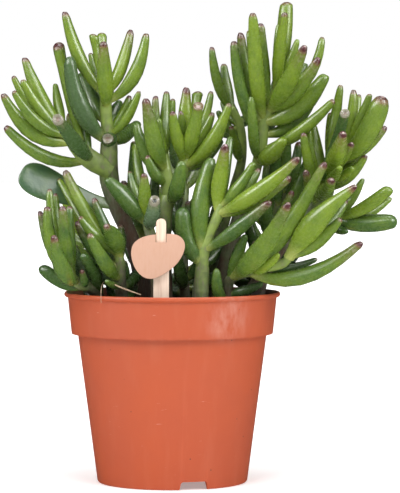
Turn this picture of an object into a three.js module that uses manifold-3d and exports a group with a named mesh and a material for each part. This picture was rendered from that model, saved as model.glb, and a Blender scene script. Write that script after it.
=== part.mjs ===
// Potted jade with tubular leaves: nursery pot, soil, wooden label and the plant's stems and shoots.
// Millimetres, +Z up, origin at the middle of the pot's base, the label's side towards -Y.
import * as THREE from "three";
import { mergeVertices } from "three/addons/utils/BufferGeometryUtils.js";
import Module from "manifold-3d";

// Pot
const potHeight = 105.5;
const lipRadius = 60;
const lipHeight = 2.5;
const collarTopRadius = 58;
const collarFootRadius = 55.9;
const collarFootHeight = 82.5;
const bodyTopRadius = 52.65;
const bodyFootRadius = 41.8;
const potWall = 1.2;
const floorHeight = 4.4;
const floorThickness = 1.4;
const padRadius = 10;
const footRim = 2;
const recessTaper = 1;
const footRound = 0.6;
const lipChamfer = 0.5;
const potSides = 32;
const notchCount = 3;
const notchWidth = 15;
const notchDepth = 6;
const notchAngle = THREE.MathUtils.degToRad(-73);
const drainRadius = 3.2;
const drainPlace = 31;
const drainSides = 10;

// Soil
const soilTop = 92;
const soilFlare = 0.6;
const soilEdge = 1;

// Label
const stakeWidth = 8.4;
const stakeNeckWidth = 5.4;
const stakeThickness = 1.1;
const stakeTop = 147.3;
const stakeShoulder = 121;
const stakeShoulderRun = 5;
const stakeFoot = 64;
const stakePoint = 8;
const stakeMiddle = -5.5;
const stakeDepth = -46;
const tagThickness = 0.9;
const tagTilt = THREE.MathUtils.degToRad(9);
const tagSlotFoot = 134.5;
const tagSlotSpare = 0.4;
const curveSegments = 4;

// Room that leaves keep free about the label: across, in height and in depth.
const tagRoomMiddle = stakeMiddle - 2;
const tagRoomHalf = 16;
const tagRoomTop = tagSlotFoot + 5;
const labelBack = stakeDepth + 1.5;

// Plant
const seatGap = 0.3;
const leafSides = 5;
const slimSides = 4;
const stemSides = 6;
const leafGirth = 1.08;
const facetGrowth = 1.12;
const slimGrowth = 1.2;
const leafFlatness = 0.9;
const leastBow = 0.03;
const bowPlace = 0.38;
const tipSlope = 0.35;
const tipSag = 0.14;
const slimWidth = 6.7;
const leafSwell = [[0, 0.4], [0.28, 0.9], [0.66, 1], [0.96, 0.72]];
const slimSwell = [[0, 0.4], [0.45, 1], [0.96, 0.72]];
const broadTipRound = 0.6;
const broadSwell = [[0, 0.3], [0.3, 0.44], [0.55, 0.78], [0.8, 1], [0.94, 0.72], [1, 0.3]];

// Leaves that would cross are bent apart at their tips, mostly in depth, and drawn back to their place.
const bendPasses = 60;
const bendClearance = 1;
const bendStations = [0.3, 0.48, 0.66, 0.84, 1];
const bendSideways = 0.4;
const bendInDepth = 0.5;
const bendStep = 1.5;
const rootedPart = 0.4;
const pullSideways = 0.06;
const pullInDepth = 0.01;
const ballSpacing = 5;
const restRadius = collarFootRadius - 4;

// The plant is laid out as it looks from this eye, 1.4 m before the pot: across and height are read at the
// pot's middle plane, and depth is true, less towards the eye.
const eyeDistance = 1400;
const eyeAcross = 15.4;
const eyeHeight = 182;

// Woody stems: [across, depth, height, radius].
const trunks = {
  trunk_left: [
    [-14, 4, 76, 4.6], [-16, 3, 105, 4.6], [-21, 2, 130, 4.4], [-26, 1, 142, 4.4], [-31.6, 0, 155, 4.8],
    [-34.8, -1, 168, 5.4], [-35, -3, 188, 4.7],
  ],
  trunk_middle: [
    [-4, -12, 76, 4.2], [-4, -14, 105, 4.1], [-4.5, -15, 135, 4], [-4, -15, 150, 4], [-2, -14, 158, 4.4],
  ],
  trunk_front: [[14.5, -30, 76, 4.7], [15.5, -31, 100, 4.6], [16.6, -32, 119, 3.8]],
  trunk_right: [
    [34, -2, 76, 4], [42, -3, 102, 4], [55, -4, 121, 3.8], [70, -4, 141, 3.5], [80, -6, 156, 3.3],
  ],
  trunk_top_right: [
    [22, 4, 76, 4.4], [26, 5, 105, 4.3], [35, 3, 140, 4], [43, 0, 165, 3.3], [46.5, -2, 175, 2.9],
  ],
  trunk_back_left: [[-22, 22, 76, 3.8], [-27, 32, 104, 3.6], [-33, 40, 116, 3.3]],
  trunk_back_middle: [[4, 28, 76, 4], [4, 36, 115, 3.6], [6, 44, 148, 3.2]],
  trunk_back_right: [[28, 22, 76, 4], [40, 32, 108, 3.6], [52, 42, 130, 3.2]],
};

// Leafy shoots: the stem as above, then each leaf as
// [place along the stem, tip across, tip depth, tip height, width, bow].
const shoots = {
  shoot_left_top: {
    stem: [[-35.2, -3, 186, 3.8], [-36.6, -5, 203, 3.3], [-37, -7, 216, 3.4], [-38, -7, 222, 2.6]],
    leaves: [
      [0.05, -57.2, -16, 237, 9.4, 0.1], [0.15, -23.5, -4, 215, 5.5, 0.06],
      [0.12, -18.5, -12, 217, 5, 0.08], [0.1, -19, 8, 199, 8, 0.05], [0.22, -29, 12, 212, 7, 0.02],
      [0.25, -50.5, 10, 227, 7.6, 0.02], [0.62, -59.5, -8, 260.8, 6.8, 0.05],
      [0.42, -38.2, -24, 245, 7.8, 0.02], [0.62, -22.8, 2, 251, 6.6, 0.03],
      [0.52, -14.4, -8, 249, 7.2, 0.11], [0.9, -43.5, 0, 249, 5.4, 0], [0.9, -39.2, 6, 249, 5.4, 0],
      [0.7, -45.5, 14, 238, 4.8, 0.03], [0.55, -35, 24, 224, 6.5, 0.1], [0.4, -45, 28, 225, 6.5, 0.1],
    ],
  },
  shoot_left_outer: {
    stem: [[-35, -3, 172.4, 5.2], [-46.5, -7, 180, 5.5], [-55, -10, 189, 4.2], [-61, -12, 197, 3.4]],
    leaves: [
      [0.66, -94.4, -14, 216.5, 8, 0.15], [0.8, -88.3, -24, 217.5, 5.8, 0.1],
      [0.8, -88.6, -6, 226, 5.2, 0.08], [0.85, -83.3, -16, 224, 6.4, 0.06], [0.92, -82, -8, 236, 7.2, 0.04],
      [0.97, -64.3, 4, 221.5, 4.8, 0], [0.3, -93.6, -12, 198.2, 6.8, 0.13], [0.25, -64, -40, 202, 8.4, 0],
      [0.4, -64.2, 0, 243.6, 7, -0.01], [0.3, -50, 2, 208, 5.2, 0], [0.6, -72, 16, 213, 6.5, 0.1],
      [0.5, -57, 24, 205, 6.5, 0.08],
    ],
  },
  shoot_middle_low: {
    stem: [[-8, -25, 76, 3.3], [-9, -26, 112, 3.2], [-12, -25, 136, 3.1], [-14.5, -24, 146, 2.6]],
    leaves: [
      [0.92, -36.5, -26, 169.8, 9.6, -0.02], [0.95, -27.6, -12, 165.8, 5, 0],
      [0.97, -24, -16, 172.5, 4.8, 0], [0.95, -16, -34, 171.5, 6.3, 0], [0.97, -21, -6, 188, 5.6, -0.02],
      [0.85, -9.7, -46, 157, 7.8, 0.05],
    ],
  },
  shoot_middle_left: {
    stem: [[-2, -14, 156, 3.8], [-3.5, -15, 171, 3.5], [-5, -15, 181, 2.8]],
    leaves: [
      [0.58, -14.7, -28, 214, 8.6, 0.04], [0.8, -9, -14, 215, 5.2, 0.03],
      [0.45, -20.3, -20, 200, 6.8, 0.08], [0.9, -7.5, -24, 201.8, 5, 0], [0.95, -3.2, 0, 217, 5.4, 0],
      [0.3, -14.2, -22, 182, 6, 0.1], [0.9, 0.3, 4, 213, 5.2, 0], [0.5, -14, 14, 198, 6.5, 0.08],
      [0.4, -8, 16, 190, 6.5, 0.1],
    ],
  },
  shoot_middle_right: {
    stem: [[-2, -14, 156, 4], [4, -12, 169, 3.9], [7, -11, 178, 3.4], [9, -10, 187, 2.7]],
    leaves: [
      [0.62, 0, -26, 206.3, 6.3, 0.03], [0.85, 4.6, -16, 206, 4.4, 0], [0.9, 8, -10, 218.8, 7, 0],
      [0.95, 14.6, 0, 217, 6, 0], [0.7, 14.5, -26, 209.3, 7.6, 0.03], [0.85, 21.6, -2, 217.3, 5, 0.04],
      [0.7, 22.7, -14, 205, 6.2, 0.03], [0.55, 31.9, -20, 210.4, 8, 0.08], [0.5, 26, -2, 196, 7.6, 0.08],
      [0.02, 5.4, -32, 178.6, 8, 0.12], [0.5, 27.5, 10, 190.5, 7.2, 0.03], [0.6, 9, 22, 200, 6.5, 0.08],
      [0.5, 1, 20, 192, 6.5, 0.08],
    ],
  },
  shoot_front: {
    stem: [
      [16.6, -32, 117, 3.7], [17, -33, 127, 3.5], [21, -34, 138, 2.7], [25, -36, 147, 2.8],
      [27, -37, 154, 2.2],
    ],
    leaves: [
      [0.25, 21.8, -35, 181, 10, -0.1], [0.8, 29.8, -50, 187.3, 7.6, -0.12],
      [0.1, 6.2, -34, 152.8, 9.4, 0.1], [0.82, 70.3, -60, 180, 9, 0.02],
      [0.78, 66.3, -46, 169.8, 6.6, 0.04], [0.28, 54.6, -52, 156, 7.4, 0],
      [0.97, 45.8, -42, 178, 6.2, 0.03], [0.95, 48.3, -34, 174, 6.2, 0.06], [0.9, 41, -24, 167, 6, 0.05],
      [0.7, 32, -20, 191.5, 6, -0.02], [0.5, 29, -6, 170, 7, 0.05], [0.2, 12, -10, 158, 7, 0.06],
    ],
  },
  shoot_right_low: {
    stem: [
      [29.5, -21, 76, 3.2], [30.5, -23, 104, 3.2], [32, -25, 112, 3], [43, -30, 117, 3.1],
      [62, -38, 121.5, 2.5], [66, -40, 126, 2],
    ],
    leaves: [
      [0.14, 24.8, -33, 119.5, 6.2, 0.16], [0.34, 41, -34, 137.5, 6.4, -0.04],
      [0.45, 65, -76, 155.3, 10.6, 0.03], [0.64, 85, -52, 177.6, 8.4, 0], [0.56, 67, -42, 161.8, 6, 0],
      [0.58, 106, -46, 133.6, 8.4, 0.125], [0.68, 80.6, -28, 123.8, 4.6, 0.05],
      [0.6, 59.3, -44, 126.5, 5.4, 0.06], [0.2, 51, -26, 110.5, 5.6, 0.02],
      [0.93, 102.4, -64, 164.5, 12, -0.08], [0.95, 94, -44, 146.5, 7, 0.04],
      [0.97, 97, -24, 157, 6.6, 0.05], [0.6, 60, -8, 139, 7, 0.08], [0.76, 74, -10, 139, 7, 0.08],
    ],
  },
  shoot_right_far: {
    stem: [[67, -4, 138, 3], [82, -10, 143, 2.9], [93, -14, 148, 2.6]],
    leaves: [
      [0.9, 121.2, -26, 163, 7.2, 0.05], [0.95, 121.4, -14, 157.6, 5.6, 0.1],
      [0.8, 125.2, -22, 146, 9.6, 0.03], [0.7, 97.6, -22, 138.8, 5.4, 0.06],
      [0.97, 106, -14, 168.6, 4.8, 0.02], [0.85, 110, 12, 152, 7, 0.08], [0.6, 96, 14, 150, 7, 0.08],
    ],
  },
  shoot_right_outer: {
    stem: [[79, -6, 154, 3.3], [88, -8, 170, 3.2], [94, -9, 181, 3], [98, -10, 190, 2.4]],
    leaves: [
      [0.1, 88.7, -54, 168.3, 8.4, 0.02], [0.3, 95, -60, 193.7, 8.6, -0.02],
      [0.16, 96.8, -42, 205.2, 7, -0.02], [0.25, 93.6, -6, 220.3, 6, -0.04],
      [0.85, 100.9, -14, 217.7, 6, 0.02], [0.88, 103.8, -6, 215.2, 4.8, 0],
      [0.85, 109.4, -18, 216.2, 5.6, 0.04], [0.6, 116.8, -28, 213, 11.2, 0.09],
      [0.55, 118.8, -12, 197.8, 6.4, 0.05], [0.3, 100.7, -34, 174.8, 5.2, 0.05],
      [0.25, 93.3, -46, 175.3, 5.6, 0], [0.45, 99.5, -38, 188.5, 5.8, 0], [0.35, 106, -8, 183, 6.2, 0.08],
      [0.4, 88.3, 4, 206, 7.2, 0.03], [0.25, 78, 8, 199.5, 6, 0.05],
      [0.15, 75.8, -16, 196.3, 5.2, 0.05], [0.1, 72.8, -24, 194, 5.8, 0.06],
      [0.02, 74, -32, 173, 5.8, 0.05], [0.5, 99, 24, 198, 7, 0.1], [0.7, 108, 18, 201, 6.5, 0.1],
      [0.3, 94, 28, 184, 7, 0.1], [0.18, 107.5, -22, 182, 6.2, 0.08],
    ],
  },
  shoot_right_top: {
    stem: [
      [46.5, -2, 173, 2.8], [49, -5, 185, 3.4], [50.4, -6, 200, 3.8], [55.5, -7, 212, 3.2],
      [58, -7, 218, 2.6],
    ],
    leaves: [
      [0.12, 43.8, -24, 214, 5.6, 0.1], [0.24, 89.6, -30, 212, 6.6, 0.05],
      [0.5, 44.6, -32, 260.4, 7.8, 0.02], [0.6, 49, -10, 255, 6.2, -0.02], [0.6, 42.6, -4, 250.8, 5.6, 0],
      [0.45, 38, -12, 249.4, 8.6, 0.02], [0.3, 34, -20, 245.4, 6.4, 0.04],
      [0.5, 85.6, -20, 227.5, 10.4, 0.1], [0.64, 74, -44, 242, 9.2, 0.02],
      [0.75, 83.4, -4, 247.8, 5.6, 0.16], [0.62, 82.2, -26, 235.5, 8.6, 0.06], [0.9, 63.4, -2, 267, 8, 0],
      [0.88, 62.4, -22, 260.4, 6, -0.02], [0.86, 59.3, -12, 253.8, 5.2, 0], [0.92, 69.2, -8, 245.8, 5.2, 0],
      [0.7, 74.5, 6, 232.8, 6.2, 0.02], [0.1, 63, -16, 191.5, 9, 0.05], [0.6, 62, 26, 238, 7, 0.08],
      [0.5, 50, 28, 232, 7, 0.08], [0.7, 71, 24, 228, 6.5, 0.08], [0.4, 57, 30, 214, 7, 0.08],
      [0.38, 80, -2, 216, 7.4, 0.12],
    ],
  },
  shoot_rear: {
    stem: [
      [15, 15, 76, 3.7], [20, 18, 112, 3.6], [31, 18, 152, 3.1], [38.6, 16, 180, 2.5], [37.6, 14, 198, 2.3],
      [33, 13, 207, 2.2],
    ],
    leaves: [
      [0.93, 22, 10, 241.5, 5.4, 0.06], [0.95, 28.6, 18, 232.8, 6.2, 0.04],
      [0.8, 27.5, 26, 211.5, 5.6, 0.05], [0.7, 25, 20, 206.8, 5, 0.05], [0.58, 32.5, 2, 197.5, 5.2, 0.02],
      [0.85, 44, 30, 204, 6.2, 0.08], [0.9, 31, 36, 214, 6.2, 0.1], [0.8, 24, 32, 196, 6.6, 0.1],
    ],
  },
  shoot_low_outer: {
    stem: [
      [-38, -14, 76, 3.4], [-40, -18, 100, 3.4], [-45, -24, 107, 3.2], [-52, -28, 110, 3],
      [-56, -30, 114, 2.4],
    ],
    leaves: [
      [0.62, -73.4, -22, 120.3, 7.2, 0.1], [0.82, -66, -58, 137.3, 8.4, 0.14],
      [0.92, -69.3, -40, 153.8, 7, 0.11], [0.88, -73.4, -24, 150.5, 5.6, 0.07],
      [0.92, -61, -46, 153.6, 6.4, 0.05], [0.95, -57, -32, 153.8, 5.8, 0.02],
      [0.97, -68.3, -26, 162.8, 5.6, 0.05], [0.26, -49.4, -44, 126, 6.8, -0.14],
      [0.6, -50.4, -42, 117.6, 4.2, 0.02], [0.8, -60, -2, 134, 7, 0.1], [0.9, -65, -16, 160.5, 4.8, 0.06],
      [0.5, -55, 4, 132, 6.6, 0.06], [0.4, -42, 6, 134, 6.6, 0.04], [0.24, -50, -4, 114, 6.4, 0.06],
    ],
  },
  shoot_low_inner: {
    stem: [
      [-27, -20, 76, 3.4], [-28, -24, 100, 3.4], [-29, -28, 112, 3.2], [-29, -30, 122, 2.7],
      [-31, -31, 128, 2.2],
    ],
    leaves: [
      [0.5, -46.8, -48, 138, 7.2, 0.03], [0.86, -37.2, -48, 142.2, 9.4, -0.16],
      [0.8, -44, -28, 157.5, 5.8, -0.02], [0.95, -51.8, -38, 147.6, 6.4, 0.03],
      [0.65, -53.3, -28, 146, 7.2, 0.08], [0.5, -25.5, -16, 121, 6.6, 0.05],
      [0.75, -28.5, -12, 142.8, 5.6, 0], [0.9, -60, -20, 173, 7.4, 0.02], [0.88, -63.2, -12, 169, 5, 0.03],
      [0.44, -37, -46, 111.8, 3.8, 0.05], [0.8, -40, 2, 139, 7, 0.1], [0.45, -47, -4, 124, 6.6, 0.08],
      [0.42, -18, -4, 121, 6.6, 0.06], [0.24, -36, -6, 113, 6.4, 0.06], [0.26, -20, -12, 111, 6.2, 0.06],
    ],
  },
  shoot_inner_left: {
    stem: [[-12, 16, 76, 3.2], [-13, 19, 104, 3], [-15, 18, 128, 2.9], [-18, 14, 148, 2.5]],
    leaves: [
      [0.3, -36, 30, 114, 6.6, 0.1], [0.32, 2, 36, 116, 6.6, 0.1], [0.5, -28, 32, 140, 6.6, 0.06],
      [0.55, -2, 10, 146, 6.6, 0.08], [0.6, -14, 40, 150, 6.6, 0.06], [0.75, -21, 6, 190, 8, 0.04],
      [0.85, -9, 18, 176, 6.6, 0.02], [0.9, -27, 28, 168, 6.6, 0.06], [0.95, -16, 32, 172, 6.6, 0.02],
      [0.7, 5, 24, 160, 6.6, 0.08], [0.4, -6, 46, 130, 6.6, 0.08],
    ],
  },
  shoot_inner_right: {
    stem: [[8, -4, 76, 3], [7, -5, 104, 2.9], [6, -3, 124, 2.8], [8, 0, 140, 2.4]],
    leaves: [
      [0.4, 3, -28, 128, 6.6, 0.1], [0.45, 22, -8, 137, 6.6, 0.06], [0.35, -8, 14, 116, 6.6, 0.1],
      [0.4, 27, 14, 118, 6.6, 0.1], [0.65, 9, 20, 156, 6.6, 0.06], [0.7, 13, -12, 158, 6.6, 0.03],
      [0.75, 25, 10, 150, 6.6, 0.08], [0.85, -2, 2, 164, 6.6, 0.04], [0.95, 27, -2, 179, 6.6, 0.02],
      [0.32, 13, 38, 122, 6.6, 0.08], [0.5, 22, 36, 134, 6.6, 0.08], [0.55, 36, 24, 142, 6.6, 0.08],
    ],
  },
  shoot_inner_far: {
    stem: [[44, 14, 76, 3.4], [49, 16, 108, 3.3], [56, 12, 138, 3.1], [61, 9, 160, 2.5]],
    leaves: [
      [0.35, 35, 4, 134, 6.6, 0.08], [0.4, 62, 34, 139, 6.6, 0.1], [0.5, 42, 14, 154, 6.6, 0.08],
      [0.62, 50, -8, 168, 7, 0.08], [0.75, 53, 20, 179, 6.8, 0.06], [0.8, 75, 0, 180, 7, 0.08],
      [0.88, 57, -4, 188, 6.6, 0.03], [0.92, 70, 14, 189, 6.6, 0.05], [0.97, 64, 4, 194, 6.2, 0],
      [0.7, 66, 34, 170, 6.6, 0.1], [0.36, 28, 30, 118, 6.6, 0.08], [0.42, 64, 20, 128, 6.6, 0.1],
      [0.3, 46, -6, 134, 6.6, 0.04], [0.4, 44, 36, 146, 6.6, 0.05],
    ],
  },
  shoot_back_left: {
    stem: [[-33, 40, 114, 3.2], [-40, 46, 125, 3], [-46, 50, 134, 2.4]],
    leaves: [
      [0.2, -38, 84, 126, 6.6, 0.1], [0.3, -66, 54, 121, 6.6, 0.12], [0.5, -28, 78, 137, 6.6, 0.1],
      [0.55, -67, 40, 138, 6.6, 0.1], [0.7, -48, 86, 146, 6.6, 0.1], [0.8, -66, 66, 150, 6.6, 0.08],
      [0.9, -52, 64, 158, 6.4, 0.04], [0.95, -46, 40, 156, 6, 0.03], [0.92, -61, 44, 160, 6, 0.04],
      [0.6, -58, 80, 134, 6.6, 0.1],
    ],
  },
  shoot_back_middle: {
    stem: [[6, 44, 146, 3.2], [6, 48, 160, 3], [4, 50, 173, 2.4]],
    leaves: [
      [0.15, -8, 78, 164, 6.6, 0.1], [0.2, 25, 66, 160, 6.6, 0.1], [0.4, 6, 88, 176, 6.6, 0.1],
      [0.5, -15, 60, 186, 6.8, 0.08], [0.6, 18, 78, 186, 6.6, 0.06], [0.75, -6, 76, 196, 6.6, 0.06],
      [0.85, 6, 62, 205, 6.4, 0.02], [0.95, 0, 48, 203, 6, 0], [0.9, 14, 50, 200, 6, 0.04],
      [0.7, 8, 84, 190, 6, 0.06],
    ],
  },
  shoot_back_right: {
    stem: [[52, 42, 128, 3.2], [58, 48, 140, 3], [63, 52, 151, 2.4]],
    leaves: [
      [0.1, 44, 80, 144, 6.6, 0.1], [0.2, 80, 62, 144, 6.6, 0.12], [0.4, 60, 90, 152, 6.6, 0.1],
      [0.5, 40, 60, 163, 6.6, 0.08], [0.6, 86, 60, 162, 6.6, 0.08], [0.75, 54, 76, 172, 6.6, 0.06],
      [0.85, 76, 82, 168, 6.4, 0.06], [0.95, 63, 60, 182, 6, 0.02], [0.9, 74, 50, 178, 6, 0.04],
      [0.55, 80, 40, 150, 6.6, 0.08],
    ],
  },
};

// Broad flat leaf low on the left trunk: [across, depth, height], foot, middle and tip.
const broadLeaf = {
  foot: [-33, -1, 154], middle: [-57, -4, 157.4], tip: [-84, -6, 172.2], width: 20, thickness: 5, sides: 8,
  rise: [0.1, 0.35, 1],
};

const looks = {
  pot: { color: 0xd86a4a, roughness: 0.5 },
  soil: { color: 0x3b2a20, roughness: 1 },
  wood: { color: 0xf2d9bd, roughness: 0.7 },
  bark: { color: 0x7d6a4c, roughness: 0.8 },
  shoot: { color: 0x6fa23c, roughness: 0.4 },
  broad: { color: 0x4f7f45, roughness: 0.4 },
};

// Solids

const wasm = await Module();
wasm.setup();

// A closed three.js geometry as a solid.
function solidOf(geometry) {
  const bare = geometry.clone();
  bare.deleteAttribute("normal");
  bare.deleteAttribute("uv");
  const merged = mergeVertices(bare, 1e-4);
  const corners = merged.index.array;
  const triangles = [];
  for (let i = 0; i < corners.length; i += 3) {
    const [a, b, c] = corners.slice(i, i + 3);
    if (a !== b && b !== c && c !== a) triangles.push(a, b, c);
  }
  return solidFrom(merged.attributes.position.array, triangles);
}

function solidFrom(positions, triangles) {
  const vertProperties = Float32Array.from(positions);
  const triVerts = Uint32Array.from(triangles);
  return new wasm.Manifold(new wasm.Mesh({ numProp: 3, vertProperties, triVerts }));
}

// Closed skin over a row of rings with the same count of points, each ring turning about the way forward.
// The ends are closed over the first ring flat, and over the last with a point of its own.
function skinSolid(rings, end) {
  const sides = rings[0].length;
  const triangles = [];
  for (let ring = 0; ring + 1 < rings.length; ring++) {
    for (let side = 0; side < sides; side++) {
      const here = ring * sides + side;
      const beside = ring * sides + ((side + 1) % sides);
      triangles.push(here, beside, beside + sides, here, beside + sides, here + sides);
    }
  }
  const last = (rings.length - 1) * sides;
  for (let side = 1; side + 1 < sides; side++) triangles.push(0, side + 1, side);
  for (let side = 0; side < sides; side++) {
    triangles.push(last + sides, last + side, last + ((side + 1) % sides));
  }
  return solidFrom([...rings.flat(), end].flatMap((point) => point.toArray()), triangles);
}

// Only the largest body of a solid, without the scraps that a cut leaves.
function largestBody(solid) {
  return solid.decompose().sort((a, b) => b.volume() - a.volume())[0];
}

function meshOf(name, solid, look) {
  const { vertProperties, triVerts } = solid.getMesh();
  const geometry = new THREE.BufferGeometry();
  geometry.setAttribute("position", new THREE.BufferAttribute(Float32Array.from(vertProperties), 3));
  geometry.setIndex(new THREE.BufferAttribute(Uint32Array.from(triVerts), 1));
  geometry.computeVertexNormals();
  const mesh = new THREE.Mesh(geometry, new THREE.MeshStandardMaterial({ ...look, metalness: 0 }));
  mesh.name = name;
  return mesh;
}

// A profile of [radius, height] turned about the pot's axis.
function turned(profile, sides) {
  const outline = profile.map(([radius, height]) => new THREE.Vector2(radius, height));
  return solidOf(new THREE.LatheGeometry(outline, sides).rotateX(Math.PI / 2));
}

// Pot and soil

// The inner wall's radius at a height.
function innerRadius(height) {
  const rise = height / collarFootHeight;
  return THREE.MathUtils.lerp(bodyFootRadius, bodyTopRadius, rise) - potWall;
}

function makePot() {
  const collarFloor = collarFootHeight + potWall;
  const lipFoot = potHeight - lipHeight - lipChamfer;
  const pot = turned([
    [0, 0], [padRadius, 0], [padRadius + recessTaper, floorHeight],
    [bodyFootRadius - footRim - recessTaper, floorHeight], [bodyFootRadius - footRim, 0],
    [bodyFootRadius - footRound, 0], [bodyFootRadius, footRound],
    [bodyTopRadius, collarFootHeight], [collarFootRadius, collarFootHeight],
    [collarTopRadius, lipFoot], [lipRadius, lipFoot + lipChamfer], [lipRadius, potHeight - lipChamfer],
    [lipRadius - lipChamfer, potHeight], [lipRadius - potWall, potHeight],
    [collarTopRadius - potWall, lipFoot], [collarFootRadius - potWall, collarFloor],
    [innerRadius(collarFloor), collarFloor], [innerRadius(floorHeight), floorHeight + floorThickness],
    [0, floorHeight + floorThickness],
  ], potSides);
  const notch = new THREE.BoxGeometry(notchDepth, notchWidth, 2 * floorHeight);
  notch.translate(bodyFootRadius, 0, 0);
  const drain = new THREE.CylinderGeometry(drainRadius, drainRadius, 3 * floorThickness, drainSides);
  drain.rotateX(Math.PI / 2).translate(drainPlace, 0, floorHeight + floorThickness / 2);
  let cut = pot;
  for (let i = 0; i < notchCount; i++) {
    const turn = notchAngle + (i * 2 * Math.PI) / notchCount;
    cut = cut.subtract(solidOf(notch.clone().rotateZ(turn)));
    cut = cut.subtract(solidOf(drain.clone().rotateZ(turn)));
  }
  return cut;
}

function makeSoil(holes) {
  const floor = floorHeight + floorThickness + seatGap;
  const ledge = collarFootHeight + potWall + seatGap;
  const collarRadius = collarFootRadius - potWall - seatGap;
  const soil = turned([
    [0, floor], [innerRadius(floor) - seatGap, floor], [innerRadius(ledge) - seatGap, ledge],
    [collarRadius, ledge], [collarRadius + soilFlare, soilTop - soilEdge],
    [collarRadius - soilEdge, soilTop], [0, soilTop],
  ], potSides);
  return holes.reduce((left, hole) => left.subtract(hole), soil);
}

// Label

// The wooden stake, grown by a gap all round where room is made for it.
function makeStake(gap) {
  const half = stakeWidth / 2 + gap;
  const neck = stakeNeckWidth / 2 + gap;
  const crown = stakeTop - stakeNeckWidth / 2;
  const outline = new THREE.Shape();
  outline.moveTo(0, stakeFoot - gap);
  outline.lineTo(half, stakeFoot + stakePoint);
  outline.lineTo(half, stakeShoulder);
  outline.quadraticCurveTo(neck, stakeShoulder, neck, stakeShoulder + stakeShoulderRun);
  outline.lineTo(neck, crown);
  outline.absarc(0, crown, neck, 0, Math.PI);
  outline.lineTo(-neck, stakeShoulder + stakeShoulderRun);
  outline.quadraticCurveTo(-neck, stakeShoulder, -half, stakeShoulder);
  outline.lineTo(-half, stakeFoot + stakePoint);
  const depth = stakeThickness + 2 * gap;
  const blank = new THREE.ExtrudeGeometry(outline, { depth, bevelEnabled: false, curveSegments });
  blank.translate(0, 0, -depth / 2).rotateX(Math.PI / 2).translate(stakeMiddle, stakeDepth, 0);
  return solidOf(blank);
}

// The tag is a thin pebble shape with a slot open at its top. The stake's neck stands in the slot, and
// below it the tag leans on the stake, its foot towards the viewer.
function makeTag() {
  const slot = stakeNeckWidth / 2 + tagSlotSpare;
  const outline = new THREE.Shape();
  outline.moveTo(-slot, 0);
  outline.lineTo(-slot, 4.3);
  outline.bezierCurveTo(-7.5, 4, -11.5, 2.6, -13.3, 0.8);
  outline.bezierCurveTo(-15.4, -0.6, -16.4, -3.6, -16, -7.3);
  outline.bezierCurveTo(-15.4, -13, -11.5, -19.7, -5.6, -19.7);
  outline.bezierCurveTo(-1.5, -19.7, 5.6, -15, 8.9, -11.1);
  outline.bezierCurveTo(10.9, -8.4, 12.8, -4.8, 12.8, -1.8);
  outline.bezierCurveTo(12.8, 1.4, 10.4, 4, 7, 4.4);
  outline.bezierCurveTo(5.8, 4.7, 4.8, 4.7, slot, 4.6);
  outline.lineTo(slot, 0);
  const extrusion = { depth: tagThickness, bevelEnabled: false, curveSegments };
  const blank = new THREE.ExtrudeGeometry(outline, extrusion);
  const stakeFront = stakeDepth - stakeThickness / 2;
  blank.rotateX(Math.PI / 2 - tagTilt).translate(stakeMiddle, stakeFront - seatGap, tagSlotFoot);
  return solidOf(blank).subtract(makeStake(seatGap));
}

// Plant

// A place given as it looks from the eye.
function seen(across, depth, height) {
  const scale = 1 + depth / eyeDistance;
  const rise = (height - eyeHeight) * scale;
  return new THREE.Vector3(eyeAcross + (across - eyeAcross) * scale, depth, eyeHeight + rise);
}

// The part of a vector that is square to a direction, as a unit vector.
function square(vector, direction) {
  return vector.clone().addScaledVector(direction, -vector.dot(direction)).normalize();
}

function between(list, t) {
  const place = list.findIndex(([at]) => at >= t);
  if (place <= 0) return list.at(place)[1];
  const [[from, low], [to, high]] = [list[place - 1], list[place]];
  return low + ((high - low) * (t - from)) / (to - from);
}

// A stem's curve and its radius along it.
function makeStem(points) {
  const knots = points.map(([across, depth, height]) => seen(across, depth, height));
  const curve = new THREE.CatmullRomCurve3(knots);
  const radii = points.map(([, , , radius], i) => [i / (points.length - 1), radius]);
  return { curve, radiusAt: (t) => between(radii, t), steps: points.length };
}

function stemSolid({ curve, radiusAt, steps }, gap) {
  const rings = [];
  for (let i = 0; i <= steps; i++) {
    const t = i / steps;
    const middle = curve.getPoint(t);
    const along = curve.getTangent(t);
    if (i === 0) middle.addScaledVector(along, -gap);
    const front = square(new THREE.Vector3(0, -1, 0), along);
    const side = front.clone().cross(along);
    rings.push(ringOf(middle, side, front, radiusAt(t) + gap, radiusAt(t) + gap, stemSides));
  }
  const end = curve.getPoint(1).addScaledVector(curve.getTangent(1), radiusAt(1) * 0.5 + gap);
  return skinSolid(rings, end);
}

function ringOf(middle, side, upper, halfWidth, halfThickness, count) {
  return Array.from({ length: count }, (_, i) => {
    const turn = (2 * Math.PI * (i + 0.5)) / count;
    return middle.clone()
      .addScaledVector(side, Math.cos(turn) * halfWidth)
      .addScaledVector(upper, Math.sin(turn) * halfThickness);
  });
}

// A leaf's spine leaves its foot, sinks away from the stem by its bow and rises to its tip.
function spineOf({ foot, tip, bow }) {
  const chord = tip.clone().sub(foot);
  const length = chord.length();
  chord.normalize();
  const outward = new THREE.Vector3(chord.x, chord.y, 0).normalize();
  const under = square(outward.clone().add(new THREE.Vector3(0, 0, -1)), chord);
  const middle = foot.clone().lerp(tip, bowPlace).addScaledVector(under, 2 * (bow + leastBow) * length);
  return { curve: new THREE.QuadraticBezierCurve3(foot, middle, tip), under };
}

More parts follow.
